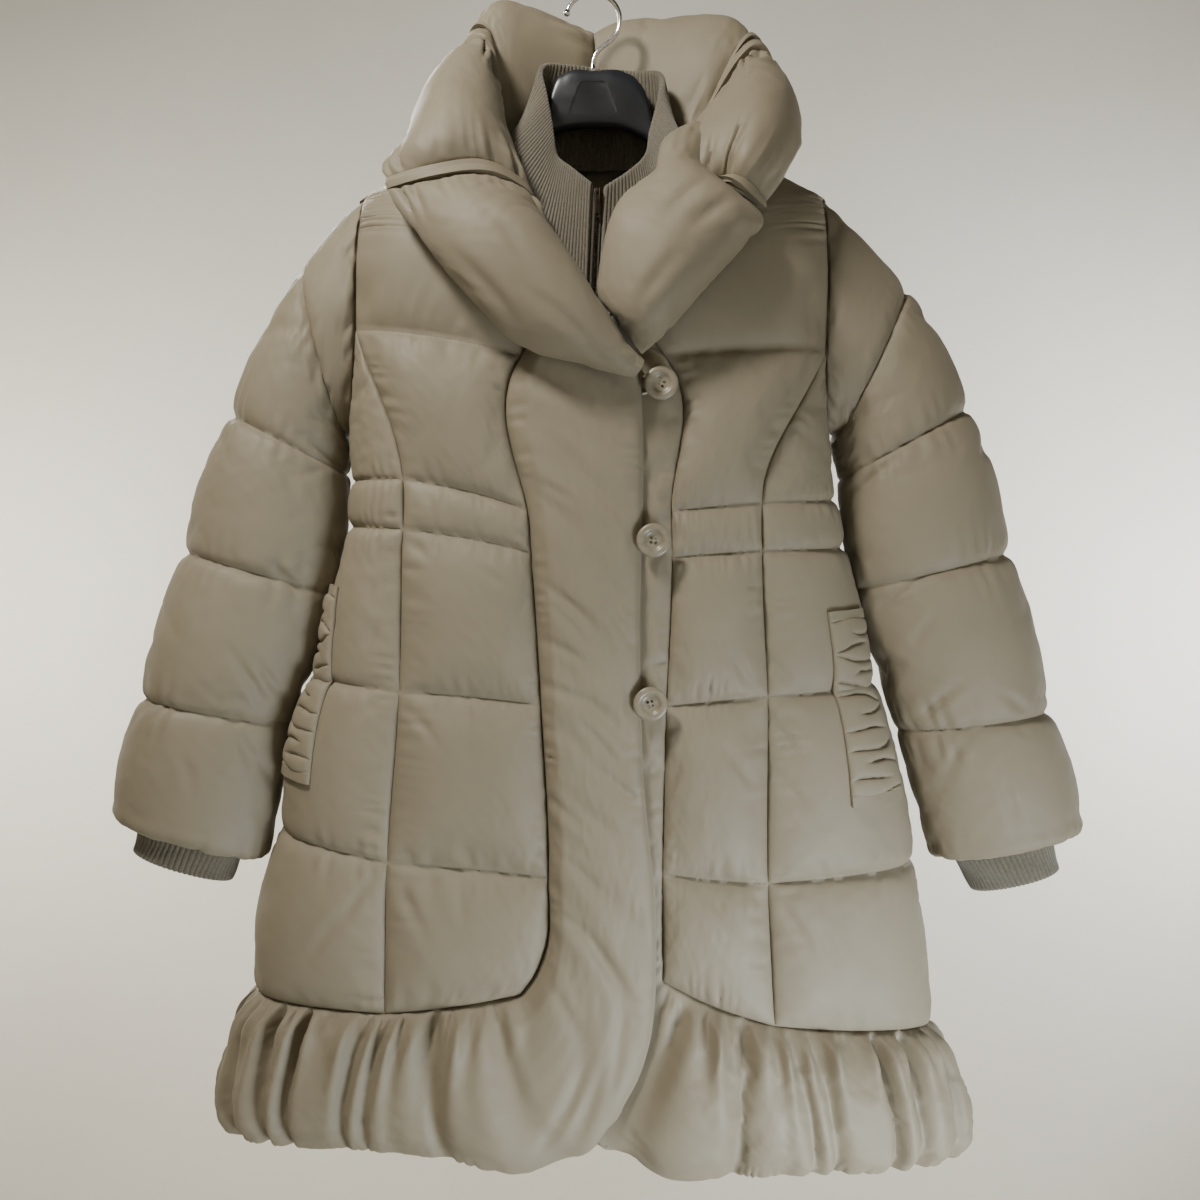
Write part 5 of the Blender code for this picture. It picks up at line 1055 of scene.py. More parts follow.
def near_seams(sewn, closed):
    """1 on a seam, and evenly less with each cell away from it."""
    near = sewn.astype(float)
    for _ in range(SEAM_REACH):
        spread = near.copy()
        for axis in (0, 1):
            for step in (-1, 1):
                moved = np.roll(near, step, axis) - 1 / SEAM_REACH
                if axis == 0 or not closed:
                    edge = 0 if step == 1 else -1
                    moved[(slice(None),) * axis + (edge,)] = 0
                spread = np.maximum(spread, moved)
        near = spread
    return near


def cloth_object(pad, rng):
    grid = pad.outer + rng.normal(0, FOLD_SEED, pad.outer.shape) * (~pad.sewn)[..., None]
    faces = grid_faces(*grid.shape[:2], pad.closed)
    if not sheet_points_out(pad):
        faces = [face[::-1] for face in faces]
    made = new_object("sim_" + pad.node, grid.reshape(-1, 3), faces, None)
    held = made.vertex_groups.new(name="sewn")
    held.add([int(i) for i in np.nonzero(pad.sewn.reshape(-1))[0]], 1.0, "REPLACE")
    beside = made.vertex_groups.new(name="beside_seam")
    for i, weight in enumerate(near_seams(pad.sewn, pad.closed).reshape(-1)):
        beside.add([i], float(weight), "REPLACE")
    cloth = made.modifiers.new("cloth", "CLOTH")
    settings = cloth.settings
    settings.quality = 4
    settings.mass = 0.3
    settings.air_damping = 2
    settings.tension_stiffness = 15
    settings.compression_stiffness = 10
    settings.shear_stiffness = 5
    settings.bending_stiffness = 1.0
    settings.use_pressure = True
    settings.uniform_pressure_force = pad.pressure
    settings.shrink_min = -pad.surplus[1]
    settings.shrink_max = -pad.surplus[0]
    settings.vertex_group_shrink = "beside_seam"
    settings.vertex_group_mass = "sewn"
    settings.effector_weights.gravity = 0
    cloth.collision_settings.use_collision = False
    cloth.point_cache.frame_start = 1
    cloth.point_cache.frame_end = SIM_FRAMES
    return made


def smoothed(grid, sewn, closed):
    """Takes ripples finer than the cloth's cells out of a grid; sewn points stay."""
    for _ in range(SMOOTH_PASSES):
        mean = grid.copy()
        mean[1:-1] = (grid[:-2] + grid[2:]) / 2
        sides = (np.roll(mean, 1, 1) + np.roll(mean, -1, 1)) / 2
        if not closed:
            sides[:, [0, -1]] = mean[:, [0, -1]]
        grid = np.where(sewn[..., None], grid, (grid + mean / 2 + sides / 2) / 2)
    return grid


def inflate(pads):
    """Runs all padded pieces in one simulation and returns each one's settled outer grid."""
    settled = {pad.node: pad.outer for pad in pads}
    rng = np.random.default_rng(7)
    soft = [(pad, cloth_object(pad, rng)) for pad in pads if pad.simulated]
    scene = bpy.context.scene
    scene.frame_start, scene.frame_end = 1, SIM_FRAMES
    for frame in range(1, SIM_FRAMES + 1):
        scene.frame_set(frame)
    graph = bpy.context.evaluated_depsgraph_get()
    for pad, made in soft:
        result = made.evaluated_get(graph).to_mesh()
        flat = np.zeros(len(result.vertices) * 3)
        result.vertices.foreach_get("co", flat)
        move = flat.reshape(pad.outer.shape) - pad.outer
        far = np.linalg.norm(move, axis=-1, keepdims=True)
        most = np.broadcast_to(pad.most, pad.outer.shape[:2])[..., None]
        move = move * np.minimum(1, most / np.maximum(far, 1e-9))
        settled[pad.node] = smoothed(pad.outer + move, pad.sewn, pad.closed)
        delete(made)
    scene.frame_set(1)
    return settled


def refine(grid, axis, closed):
    """Twice as many points along an axis, on a smooth curve through the old ones."""
    grid = np.moveaxis(grid, axis, 0)
    count = len(grid)
    at = np.arange(count if closed else count - 1)
    if closed:
        before, after, beyond = (at - 1) % count, (at + 1) % count, (at + 2) % count
    else:
        before, after, beyond = np.maximum(at - 1, 0), at + 1, np.minimum(at + 2, count - 1)
    between = (9 * (grid[at] + grid[after]) - grid[before] - grid[beyond]) / 16
    fine = np.zeros((len(at) * 2 + (0 if closed else 1),) + grid.shape[1:])
    fine[0:2 * len(at):2] = grid[at]
    fine[1:2 * len(at):2] = between
    if not closed:
        fine[-1] = grid[-1]
    return np.moveaxis(fine, 0, axis)


def surface_normal(grid, closed):
    """Direction across both of a grid's lines at each point."""
    if closed:
        across = np.roll(grid, -1, 1) - np.roll(grid, 1, 1)
    else:
        across = np.gradient(grid, axis=1)
    return unit(np.cross(across, np.gradient(grid, axis=0)))


def out_of(pad, grid):
    """Direction out of the filling at each point of a pad's cloth."""
    return surface_normal(grid, pad.closed) * (1 if sheet_points_out(pad) else -1)


def seam_wave(count, spacing, rng):
    """Uneven ripples along a seam: round crests, narrow valleys, some weak and some strong."""
    place = np.arange(count) * CELL / 2 / spacing
    drift = 0.45 * np.sin(0.9 * place + rng.uniform(0, 6))
    drift = drift + 0.30 * np.sin(2.3 * place + rng.uniform(0, 6))
    strength = (0.55 + 0.45 * np.sin(0.7 * place + rng.uniform(0, 6))) ** 2 + 0.12
    return (1.6 * np.abs(np.sin(np.pi * (place + drift))) ** 0.7 - 1) * strength


def puckered(pad, grid):
    """The cloth drawn up along every seam and quilting row of its piece."""
    depth, spacing, reach = pad.pucker
    rng = np.random.default_rng(sum(map(ord, pad.node)))
    rise, groove = np.zeros(grid.shape[:2]), np.zeros(grid.shape[:2])
    groove_depth, groove_half = SEAM_GROOVE
    seams = (np.nonzero(pad.sewn.all(1))[0][1 if pad.plain_start else 0:],
             () if pad.closed else np.nonzero(pad.sewn.all(0))[0])
    for axis, lines in enumerate(seams):
        place = np.expand_dims(np.arange(grid.shape[axis]) * CELL / 2, 1 - axis)
        for line in lines:
            groove = np.maximum(groove, np.exp(-((place - line * CELL) / groove_half) ** 2))
            away = np.abs(place - line * CELL) / reach
            near = away * np.exp((1 - away**2) / 2)
            wave = seam_wave(grid.shape[1 - axis], spacing, rng)
            rise += near * np.expand_dims(wave, axis)
    outward = out_of(pad, grid)
    return grid + outward * (depth * rise - groove_depth * groove)[..., None]


def creased(pad, grid):
    """Lays the piece's main creases into its front, each a narrow valley beside soft ridges."""
    outward = out_of(pad, grid)
    rise = np.zeros(grid.shape[:2])
    for x, z, slant, *size in CREASES.get(pad.node, ()):
        x, z, length, width, depth = (value / TENTHS for value in (x, z, *size))
        across, upward = grid[..., 0] - x, grid[..., 2] - z
        cosine, sine = math.cos(math.radians(slant)), math.sin(math.radians(slant))
        run = (across * cosine + upward * sine) / (length / 2)
        off = (upward * cosine - across * sine) / width + 0.35 * run**2 - 0.1
        valley = np.exp(-off**2) - 0.45 * np.exp(-((off / 2.2) ** 2))
        rise -= CREASE_DEPTH * depth * np.exp(-run**2 * 1.4) * valley
    facing = np.clip(-2 * outward[..., 1], 0, 1)
    return grid + outward * (rise * facing)[..., None]


def every(count, step):
    """Indices 0, step, 2 step ... and always the last one."""
    kept = list(range(0, count, step))
    return kept if kept[-1] == count - 1 else kept + [count - 1]


def wall_mesh(name, outer, inner, look, closed, coarse=8):
    """Closed wall: the fine outer grid, a coarse plain inner face, and the rims between them."""
    count_r, count_c = outer.shape[:2]
    last_r, last_c = count_r - 1, count_c if closed else count_c - 1
    shift = count_r * count_c
    faces = grid_faces(count_r, count_c, closed)

    def ins(row, column):
        return shift + row * count_c + column % count_c

    rows = every(count_r, coarse)
    lines = every(count_c, coarse) if not closed else list(range(0, count_c, coarse)) + [count_c]
    for low, high in zip(rows, rows[1:]):
        for left, right in zip(lines, lines[1:]):
            fine = range(left, right + 1)
            below = fine if low == 0 else (left, right)
            above = fine if high == last_r else (left, right)
            at_left = range(low, high + 1) if left == 0 and not closed else (low, high)
            at_right = range(low, high + 1) if right == last_c and not closed else (low, high)
            border = [(low, c) for c in below] + [(r, right) for r in at_right][1:]
            border += [(high, c) for c in reversed(above)][1:]
            border += [(r, left) for r in reversed(at_left)][1:-1]
            faces.append([ins(r, c) for r, c in reversed(border)])
    for c in range(last_c):
        after = (c + 1) % count_c
        faces.append((after, c, ins(0, c), ins(0, c + 1)))
        top = last_r * count_c
        faces.append((top + c, top + after, ins(last_r, c + 1), ins(last_r, c)))
    if not closed:
        for r in range(last_r):
            low, high = r * count_c, (r + 1) * count_c
            faces.append((low, high, ins(r + 1, 0), ins(r, 0)))
            faces.append((high + last_c, low + last_c, ins(r, last_c), ins(r + 1, last_c)))
    return solid(name, np.concatenate([outer.reshape(-1, 3), inner.reshape(-1, 3)]), faces, look)


def tube_mesh(name, rings, look, ring=False):
    """Tube of rings with flat ends, or one that closes on itself as a ring."""
    count_r, count_c = rings.shape[:2]
    faces = grid_faces(count_r, count_c, True, ring=ring)
    if not ring:
        faces.append(list(range(count_c)))
        faces.append([(count_r - 1) * count_c + c for c in reversed(range(count_c))])
    return solid(name, rings.reshape(-1, 3), faces, look)


def finish_pad(pad, grid, look):
    """The settled cloth at twice the resolution, closed over its inner face."""
    fine = refine(refine(grid, 0, False), 1, pad.closed)
    if pad.simulated:
        fine = creased(pad, puckered(pad, fine))
    if pad.inner is None:
        made = tube_mesh(pad.node + "_pad", fine, look["shell"])
    else:
        inner = refine(refine(pad.inner, 0, False), 1, pad.closed)
        made = wall_mesh(pad.node + "_pad", fine, inner, look["shell"], pad.closed)
    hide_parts(pad.node)
    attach(made, BODY_NAME)
    if pad.simulated and pad.inner is not None:
        lines = stitch_rows(pad, fine)
        if lines:
            stitches(pad.node + "_stitches", lines, look["thread"])


# ---------------------------------------------------------------- rib knit

# The stand collar's sections from one zip edge round to the other: whether its base lies behind,
# its top, its base on the body, and how far the base is set in.
FUNNEL = Table(
    "part behind tx ty tz bx bz seat",
    (0, 0, -3, -850, -1945, -60, -3280, 36), (0.07, 0, -170, -750, -1790, -270, -2620, 36),
    (0.15, 0, -298, -600, -1636, -490, -2160, 36), (0.23, 0, -350, -420, -1316, -640, -1760, 56),
    (0.31, 0, -400, -220, -979, -770, -1430, 90), (0.38, 1, -450, -30, -640, -710, -1345, 90),
    (0.45, 1, -219, 120, -570, -370, -1385, 140), (0.52, 1, 80, 180, -580, 50, -1400, 110),
    (0.59, 1, 379, 120, -630, 410, -1385, 140), (0.66, 1, 600, -30, -710, 740, -1380, 105),
    (0.73, 0, 560, -220, -1040, 830, -1460, 90), (0.8, 0, 487, -440, -1383, 710, -1770, 66),
    (0.87, 0, 439, -600, -1636, 560, -2140, 52), (0.94, 0, 294, -740, -1818, 370, -2580, 36),
    (1, 0, 98, -850, -1970, 30, -3280, 36),
    plain=2)
KNIT_COLLAR_RIBS = 120
KNIT_CUFF_RIBS = 60
RIB_POINTS = 6              # points across one rib
RIB_HEIGHT = 0.0009
KNIT_HALF = 0.0019          # half the thickness of the doubled knit
FOLD_ANGLES = np.linspace(0, np.pi, 7)[1:-1]    # round the fold of a doubled knit


def funnel_seat():
    """The funnel's base: at each of its sections, just inside the body's inner face."""
    seats = []
    for row in FUNNEL.rows:
        behind, x, z, seat = row[[1, 5, 6, 7]]
        turn = turn_at_x(x, z, back=behind > 0)
        seats.append(body_point(turn, z) - body_normal(turn, z) * seat)
    return np.array(seats)


def funnel_point(part, down):
    top = FUNNEL.vector("t", part)
    base = np.stack([smooth_between(FUNNEL.rows[:, 0], axis, part) for axis in funnel_seat().T], -1)
    return top + (base - top) * np.asarray(down)[..., None]


def rib_ridge(part, ribs):
    """Round ribs with narrow valleys between them, from 0 to 1."""
    return np.abs(np.sin(np.pi * ribs * part)) ** 0.6


def doubled(straight, fold):
    """Profile of a doubled knit: along one face, round the fold, and back along the other."""
    return ([(place, 0.0) for place in straight] + [(fold, angle) for angle in FOLD_ANGLES]
            + [(place, np.pi) for place in straight[::-1]])


def knit_collar(look):
    """Stand collar of rib knit, folded double over its top edge, open at the zip."""
    count = RIB_POINTS * KNIT_COLLAR_RIBS + 1
    part = np.linspace(0, 1, count)
    ridge = RIB_HEIGHT * rib_ridge(part, KNIT_COLLAR_RIBS)
    drop = funnel_point(part, np.full(count, 1.0)) - funnel_point(part, np.full(count, 0.0))
    profile = []
    for down, angle in doubled(np.linspace(1, 0.04, 22), 0.02):
        middle = funnel_point(part, np.full(count, down))
        normal = unit(np.cross(np.gradient(middle, axis=0), drop))
        sag = 0.0006 * np.sin(9 * part + 4 * down) * (1 - down)
        out = (KNIT_HALF + ridge)[:, None]
        profile.append(middle + normal * (out * math.cos(angle) + sag[:, None])
                       - unit(drop) * out * math.sin(angle))
    made = tube_mesh("rib_collar_knit", np.transpose(profile, (1, 0, 2)), look)
    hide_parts("rib_collar")
    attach(made, BODY_NAME)


def knit_cuff(side, look):
    """Tube of rib knit, folded double at the wrist."""
    count = RIB_POINTS * KNIT_CUFF_RIBS
    part = np.arange(count) / count
    ridge = RIB_HEIGHT * rib_ridge(part, KNIT_CUFF_RIBS)[:, None]
    start, end = (cuff_ring(side, row, 2 * np.pi * part) for row in (0.0, 1.0))
    axis = unit(end.mean(0) - start.mean(0))
    start = start + axis * 0.0006
    half = CUFF_WALL / 2
    profile = []
    for row, angle in doubled(np.linspace(0, 0.93, 14), 0.965):
        ring = start + (end - start) * row
        outward = unit(ring - ring.mean(0))
        slack = 0.0007 * np.sin(3 * 2 * np.pi * part + 5 * row)[:, None]
        profile.append(ring + outward * ((half + ridge) * math.cos(angle) - half + slack)
                       + axis * (half + ridge) * math.sin(angle))
    made = tube_mesh("cuff_knit_" + side, np.array(profile), look, ring=True)
    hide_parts("cuff_" + side)
    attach(made, BODY_NAME)


# ---------------------------------------------------------------- zip

SLIDER = (0.0066, 0.0050, 0.0130)   # width, depth, height of the zip's slider
SLIDER_TOP_Z = -0.1995
SLIDER_TAPER = 0.30                 # share of its width that it loses towards its foot
LUG = (0.0016, 0.0030, 0.0040)      # the ear that carries the pull
PULL = (0.0046, 0.0014, 0.0220)     # the pull tab's width, depth and length
PULL_SLOT = 0.0024                  # width of its slot round the ear
PULL_HOLE = 0.0011                  # radius of the hole in its end
HINGE_CLEAR = 0.0024                # hinge axis in front of the slider's face
ZIP_GAP = 0.0015                    # between the knit's edge line and the zip
ZIP_BOTTOM_Z = -0.3240
TOOTH_PITCH = 0.0021
TOOTH = (0.0026, 0.0018, 0.0012)    # across, deep and high


def zip_edges(z):
    """The knit's two front edges at a height."""
    edges = []
    for part in (0.0, 1.0):
        top, base = funnel_point(part, 0.0), funnel_point(part, 1.0)
        edges.append(top + (base - top) * (z - top[2]) / (base[2] - top[2]))
    return edges


def zip_line(z):
    return sum(zip_edges(z)) / 2


def hinge_place():
    centre = zip_line(SLIDER_TOP_Z - SLIDER[2] / 2)
    return np.array([centre[0], centre[1] - SLIDER[1] / 2 - HINGE_CLEAR,
                     SLIDER_TOP_Z - 0.0035])


def ride_coat(made, slot, *nodes):
    """A hard or sewn-on piece of the coat's body that stands for its nodes."""
    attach(made, BODY_NAME)
    if nodes:
        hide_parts(*nodes)
    return made


def rounded_box(size, bevel, segments=2):
    """Vertices and faces of a box with rounded edges, centred on the origin."""
    shaped = bmesh.new()
    bmesh.ops.create_cube(shaped, size=1.0)
    bmesh.ops.scale(shaped, vec=size, verts=shaped.verts)
    bmesh.ops.bevel(shaped, geom=list(shaped.edges) + list(shaped.verts), offset=bevel,
                    segments=segments, profile=0.5, affect="EDGES")
    vertices = np.array([tuple(vertex.co) for vertex in shaped.verts])
    faces = [[vertex.index for vertex in face.verts] for face in shaped.faces]
    shaped.free()
    return vertices, faces


def copies(name, vertices, faces, places, look):
    """One mesh of many copies of a small shape; each place is a point and three axes."""
    points, joined = [], []
    for k, (spot, axes) in enumerate(places):
        points.append(spot + vertices @ axes)
        joined += [[k * len(vertices) + index for index in face] for face in faces]
    made = new_object(name, np.concatenate(points), joined, look)
    made.data.shade_smooth()
    made.data.set_sharp_from_angle(angle=math.radians(40))
    return made


def zip_tape(look):
    """Two woven tapes that run down beside the teeth."""
    heights = np.linspace(SLIDER_TOP_Z - 0.002, ZIP_BOTTOM_Z, 60)
    points, faces = [], []
    for shares in ((0.0, 0.2, 0.42), (0.58, 0.8, 1.0)):
        grid = []
        for z in heights:
            right, left = zip_edges(z)
            gap = unit(left - right) * ZIP_GAP
            start, end = right + gap, left - gap
            grid.append(start + (end - start) * np.array(shares)[:, None])
        grid = np.array(grid)
        front, back = grid - (0, 0.0004, 0), grid + (0, 0.0004, 0)
        ring = np.concatenate([front, back[:, ::-1]], axis=1)
        shift, sides = sum(map(len, points)), ring.shape[1]
        points.append(ring.reshape(-1, 3))
        faces += grid_faces(*ring.shape[:2], True, shift)
        faces += [[shift + c for c in range(sides)],
                  [shift + (len(ring) - 1) * sides + c for c in reversed(range(sides))]]
    return solid("zip_tape", np.concatenate(points), faces, look)


def zip_teeth(look):
    """Two rows of moulded teeth that lock along the middle line."""
    vertices, faces = rounded_box(TOOTH, 0.0003, 1)
    places = []
    z, turn = SLIDER_TOP_Z - SLIDER[2] - 0.0010, 1
    while z > ZIP_BOTTOM_Z + 0.001:
        spot = zip_line(z) + np.array([turn * 0.0007, -0.0004, 0])
        places.append((spot, np.eye(3)))
        z -= TOOTH_PITCH / 2
        turn = -turn
    return copies("zip_teeth", vertices, faces, places, look)


def zip_parts(metal, tape):
    """Tapes, teeth, slider and pull tab."""
    ride_coat(zip_tape(tape), "zip_metal", "zip_chain")
    ride_coat(zip_teeth(metal), "zip_metal", "zip_chain")
    centre = zip_line(SLIDER_TOP_Z - SLIDER[2] / 2)
    hinge = hinge_place()
    vertices, faces = rounded_box(SLIDER, 0.0012, 3)
    vertices[:, 0] *= 1 - SLIDER_TAPER * np.clip(-vertices[:, 2] / (SLIDER[2] / 2), 0, 1)
    body = solid("slider_body", vertices + centre, faces, metal)
    ride_coat(body, "zip_metal", "zip_slider")
    front = centre[1] - SLIDER[1] / 2
    depth = front + 0.0010 - (hinge[1] - 0.0010)
    vertices, faces = rounded_box((LUG[0], depth, LUG[2]), 0.0004, 2)
    ear = solid("slider_ear", vertices + (hinge[0], front + 0.0010 - depth / 2, hinge[2]),
                faces, metal)
    ride_coat(ear, "zip_metal")
    tab = pull_tab(hinge, metal)
    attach(tab, "zip_pull")
    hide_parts("zip_pull")


def pull_tab(hinge, metal):
    """Flat tab with rounded corners, a slot that straddles the slider's ear and a hole."""
    half_x, slot, top = PULL[0] / 2, PULL_SLOT / 2, 0.0020
    outline = [(slot, -0.0030), (-slot, -0.0030), (-slot, top), (-half_x, top),
               (-half_x, -PULL[2] * 0.4)]
    outline += [(half_x * math.cos(a), -PULL[2] + half_x + half_x * math.sin(a))
                for a in np.linspace(np.pi, 2 * np.pi, 13)]
    outline += [(half_x, -PULL[2] * 0.4), (half_x, top), (slot, top)]
    tab = prism("pull_tab", outline, hinge, PULL[1] / 2, metal)
    hole = [(PULL_HOLE * math.cos(a), -PULL[2] + half_x + PULL_HOLE * math.sin(a))
            for a in np.linspace(0, 2 * np.pi, 17)[:-1]]
    cut(tab, prism("tab_hole", hole, hinge, PULL[1], None))
    soften(tab, 0.00018)
    return tab


def prism(name, outline, at, half_depth, look):
    """Plate of an outline in x and z, with its depth along y."""
    count = len(outline)
    points = [at + np.array([x, y, z]) for y in (-half_depth, half_depth) for x, z in outline]
    faces = [list(range(count)), list(range(2 * count - 1, count - 1, -1))]
    faces += [(k, k + count, (k + 1) % count + count, (k + 1) % count) for k in range(count)]
    return solid(name, points, faces, look)


def applied(made):
    """Puts a mesh object's modifiers into its mesh."""
    graph = bpy.context.evaluated_depsgraph_get()
    graph.update()
    shaped = bpy.data.meshes.new_from_object(made.evaluated_get(graph))
    made.modifiers.clear()
    old, made.data = made.data, shaped
    bpy.data.meshes.remove(old)


def cut(made, cutter):
    """Takes the cutter's shape out of a solid."""
    difference = made.modifiers.new("cut", "BOOLEAN")
    difference.operation = "DIFFERENCE"
    difference.object = cutter
    applied(made)
    delete(cutter)


def soften(made, width, segments=2, angle=35):
    """Rounds a solid's sharp edges."""
    rounding = made.modifiers.new("round", "BEVEL")
    rounding.width = width
    rounding.segments = segments
    rounding.limit_method = "ANGLE"
    rounding.angle_limit = math.radians(angle)
    applied(made)
    made.data.shade_smooth()
    made.data.set_sharp_from_angle(angle=math.radians(50))


# ---------------------------------------------------------------- buttons and loops

BUTTON_BACK = 0.0140        # the button's back lies this far off the coat's form
SHANK_RADIUS = 0.0014
SHANK_TURNS = 9             # turns of thread wound round a button's shank
BUTTON_TURNS = 72           # points round a button, and round one of its holes
HOLE_TURNS = 14
HOLE_RADIUS = 0.00125
HOLE_OFF = 0.0026           # from the button's middle
BUTTON_TILT = 0.35          # each button's holes are turned this much further, in radians
# Turned profile of a button: radius, and height over its back.
BUTTON_PROFILE = ((0.0, 0.0), (0.0060, 0.0), (0.0112, 0.0002), (0.0126, 0.0009),
                  (0.0134, 0.0021), (0.0135, 0.0031), (0.0131, 0.0040), (0.0123, 0.0046),
                  (0.0112, 0.0049), (0.0098, 0.0049), (0.0087, 0.0046), (0.0078, 0.0040),
                  (0.0071, 0.0031), (0.0064, 0.0024), (0.0053, 0.0020), (0.0, 0.0019))
LOOP_RADIUS = 0.0011
LOOP_OFF = 0.0078           # the loop's middle line lies this far off the coat's form
LOOP_SPREAD = 0.0070        # half the distance between its ends at the front edge


def front_y(x, z):
    return float(body_point(turn_at_x(x, z), z)[1])


def lathe(name, profile, turns, at, look):
    """Turned solid about a line along y; the profile holds radius and height towards -y."""
    points, rings = [], []
    for radius, height in profile:
        count = 1 if radius == 0 else turns
        rings.append(list(range(len(points), len(points) + count)))
        angles = 2 * np.pi * np.arange(count) / count
        points += [at + np.array([radius * math.cos(a), -height, radius * math.sin(a)])
                   for a in angles]
    faces = []
    for low, high in zip(rings, rings[1:]):
        for k in range(turns):
            after = (k + 1) % turns
            corners = [low[k % len(low)], high[k % len(high)], high[after % len(high)],
                       low[after % len(low)]]
            faces.append(list(dict.fromkeys(corners)))
    return solid(name, points, faces, look)


def button(number, x, z, look, thread):
    back = front_y(x, z) - BUTTON_BACK
    made = lathe(f"button_disc_{number}", BUTTON_PROFILE, BUTTON_TURNS, np.array([x, back, z]),
                 look)
    tilt = BUTTON_TILT * number
    for k in range(4):
        angle = tilt + k * np.pi / 2
        spot = np.array([x + HOLE_OFF * math.cos(angle), back, z + HOLE_OFF * math.sin(angle)])
        cut(made, lathe("hole", ((0, -0.002), (HOLE_RADIUS, -0.002), (HOLE_RADIUS, 0.008),
                                 (0, 0.008)), HOLE_TURNS, spot, None))
    face_out(made)
    made.data.set_sharp_from_angle(angle=math.radians(50))
    ride_coat(made, "button", f"button_{number}")
    seat = front_y(x, z) - BAND_WALL["left"] - BAND_FULL["left"] * 1.5 - 0.0003
    depth = seat - back
    wound = [(SHANK_RADIUS * (1.0 if k % 2 else 0.86), depth * k / (2 * SHANK_TURNS))
             for k in range(2 * SHANK_TURNS + 1)]
    shank = lathe(f"button_shank_{number}", [(0, 0.0)] + wound + [(0, depth)], 20,
                  np.array([x, seat, z]), thread)
    ride_coat(shank, "loop")


def smooth_path(points, per):
    """Points on a curve through the given ones, several to each stretch."""
    points = np.array(points, float)
    guide = np.concatenate([[2 * points[0] - points[1]], points, [2 * points[-1] - points[-2]]])
    path = []
    for p0, p1, p2, p3 in zip(guide, guide[1:], guide[2:], guide[3:]):
        for t in np.arange(per) / per:
            path.append(0.5 * (2 * p1 + (p2 - p0) * t + (2 * p0 - 5 * p1 + 4 * p2 - p3) * t ** 2
                               + (3 * p1 - p0 - 3 * p2 + p3) * t ** 3))
    return np.array(path + [points[-1]])


def tube(name, path, radius, look, sides=16):
    """Round solid along a path; radius is one value or one per point."""
    heading = unit(np.gradient(path, axis=0))
    side_way = unit(np.cross(heading, (0, 1, 0)))
    other = np.cross(heading, side_way)
    radii = np.broadcast_to(radius, len(path))
    angles = 2 * np.pi * np.arange(sides) / sides
    ring = [point + r * (np.cos(angles)[:, None] * a + np.sin(angles)[:, None] * b)
            for point, r, a, b in zip(path, radii, side_way, other)]
    return tube_mesh(name, np.array(ring), look)


def elastic_loop(number, x, z, look):
    """U of round elastic from the front edge round the button's shank."""
    edge_x = float(FRONT_EDGE["right"].at("x", np.linspace(z - 0.01, z + 0.01, 5)).max()) + 0.0008
    bend = SHANK_RADIUS + LOOP_RADIUS + 0.0008
    arc = [(x + bend * math.cos(a), z + bend * math.sin(a))
           for a in np.linspace(np.pi / 2, -np.pi / 2, 6)]
    middle_x = (edge_x + x) / 2
    run = [(edge_x, z + LOOP_SPREAD), (middle_x, z + (LOOP_SPREAD + bend) / 2)] + arc
    run += [(middle_x, z - (LOOP_SPREAD + bend) / 2), (edge_x, z - LOOP_SPREAD)]
    y = front_y(x, z) - LOOP_OFF
    made = tube(f"elastic_{number}", smooth_path([(px, y, pz) for px, pz in run], 8),
                LOOP_RADIUS, look, 12)
    ride_coat(made, "loop", f"loop_{number}")


# ---------------------------------------------------------------- hanger and hook

HANGER = Table("x top low half_y middle_y", (-1860, -1850, -2000, 110, -120),
               (-1500, -1665, -1920, 140, -120), (-1180, -1530, -1790, 120, -110),
               (-900, -1495, -1710, 110, -90), (-620, -1440, -1610, 95, -40),
               (-500, -1400, -1550, 90, -10), (-440, -1180, -1400, 90, 0),
               (-385, -940, -1270, 90, 0), (-340, -780, -1235, 90, 0), (-250, -702, -1205, 95, 0),
               (10, -680, -1180, 100, 0), (280, -692, -1205, 95, 0), (400, -770, -1255, 90, 0),
               (490, -950, -1330, 90, 0), (540, -1200, -1440, 90, 0), (600, -1430, -1580, 90, -10),
               (750, -1475, -1660, 100, -40), (950, -1500, -1730, 110, -90),
               (1200, -1540, -1800, 120, -110), (1520, -1675, -1930, 140, -120),
               (1870, -1855, -2005, 110, -120), plain=0)
HANGER_SIDES = 40
HANGER_PLACES = 240
HANGER_END = (0.008, 0.15)  # length of the arms' rounded ends, and share of their size at the tip
HANGER_SQUARE = 0.6         # 1 for an oval section, less for a squarer one
# Bare plate let into the hanger's head: half its top, half its foot, their heights, its depth.
PLATE = {"top": 0.0112, "foot": 0.0215, "top_z": -0.0800, "foot_z": -0.1085, "deep": 0.0007}
PLATE_CORNER = 0.0030       # radius of its corners
PLATE_FACE = 0.0100         # half the depth of the head that it is let into
PLATE_CUTTER = 0.004        # half the depth of the shape that cuts it
WIRE_RADIUS = 0.0020
WIRE_COLLAR = (-0.0640, 1.35)   # below this height a collar makes the wire this much thicker
HOOK_RADIUS = 0.0240        # the bend's middle line
HOOK_ARC = (172, -28)       # the bend from its open end to the swan neck, in degrees
HOOK_NECK = ((0.0150, -0.0405), (0.0070, -0.0470), (0.0020, -0.0530), (0.0000, -0.0600),
             (0.0000, -0.0686))
HOOK_BALL = 0.0029          # radius of the ball at the open end


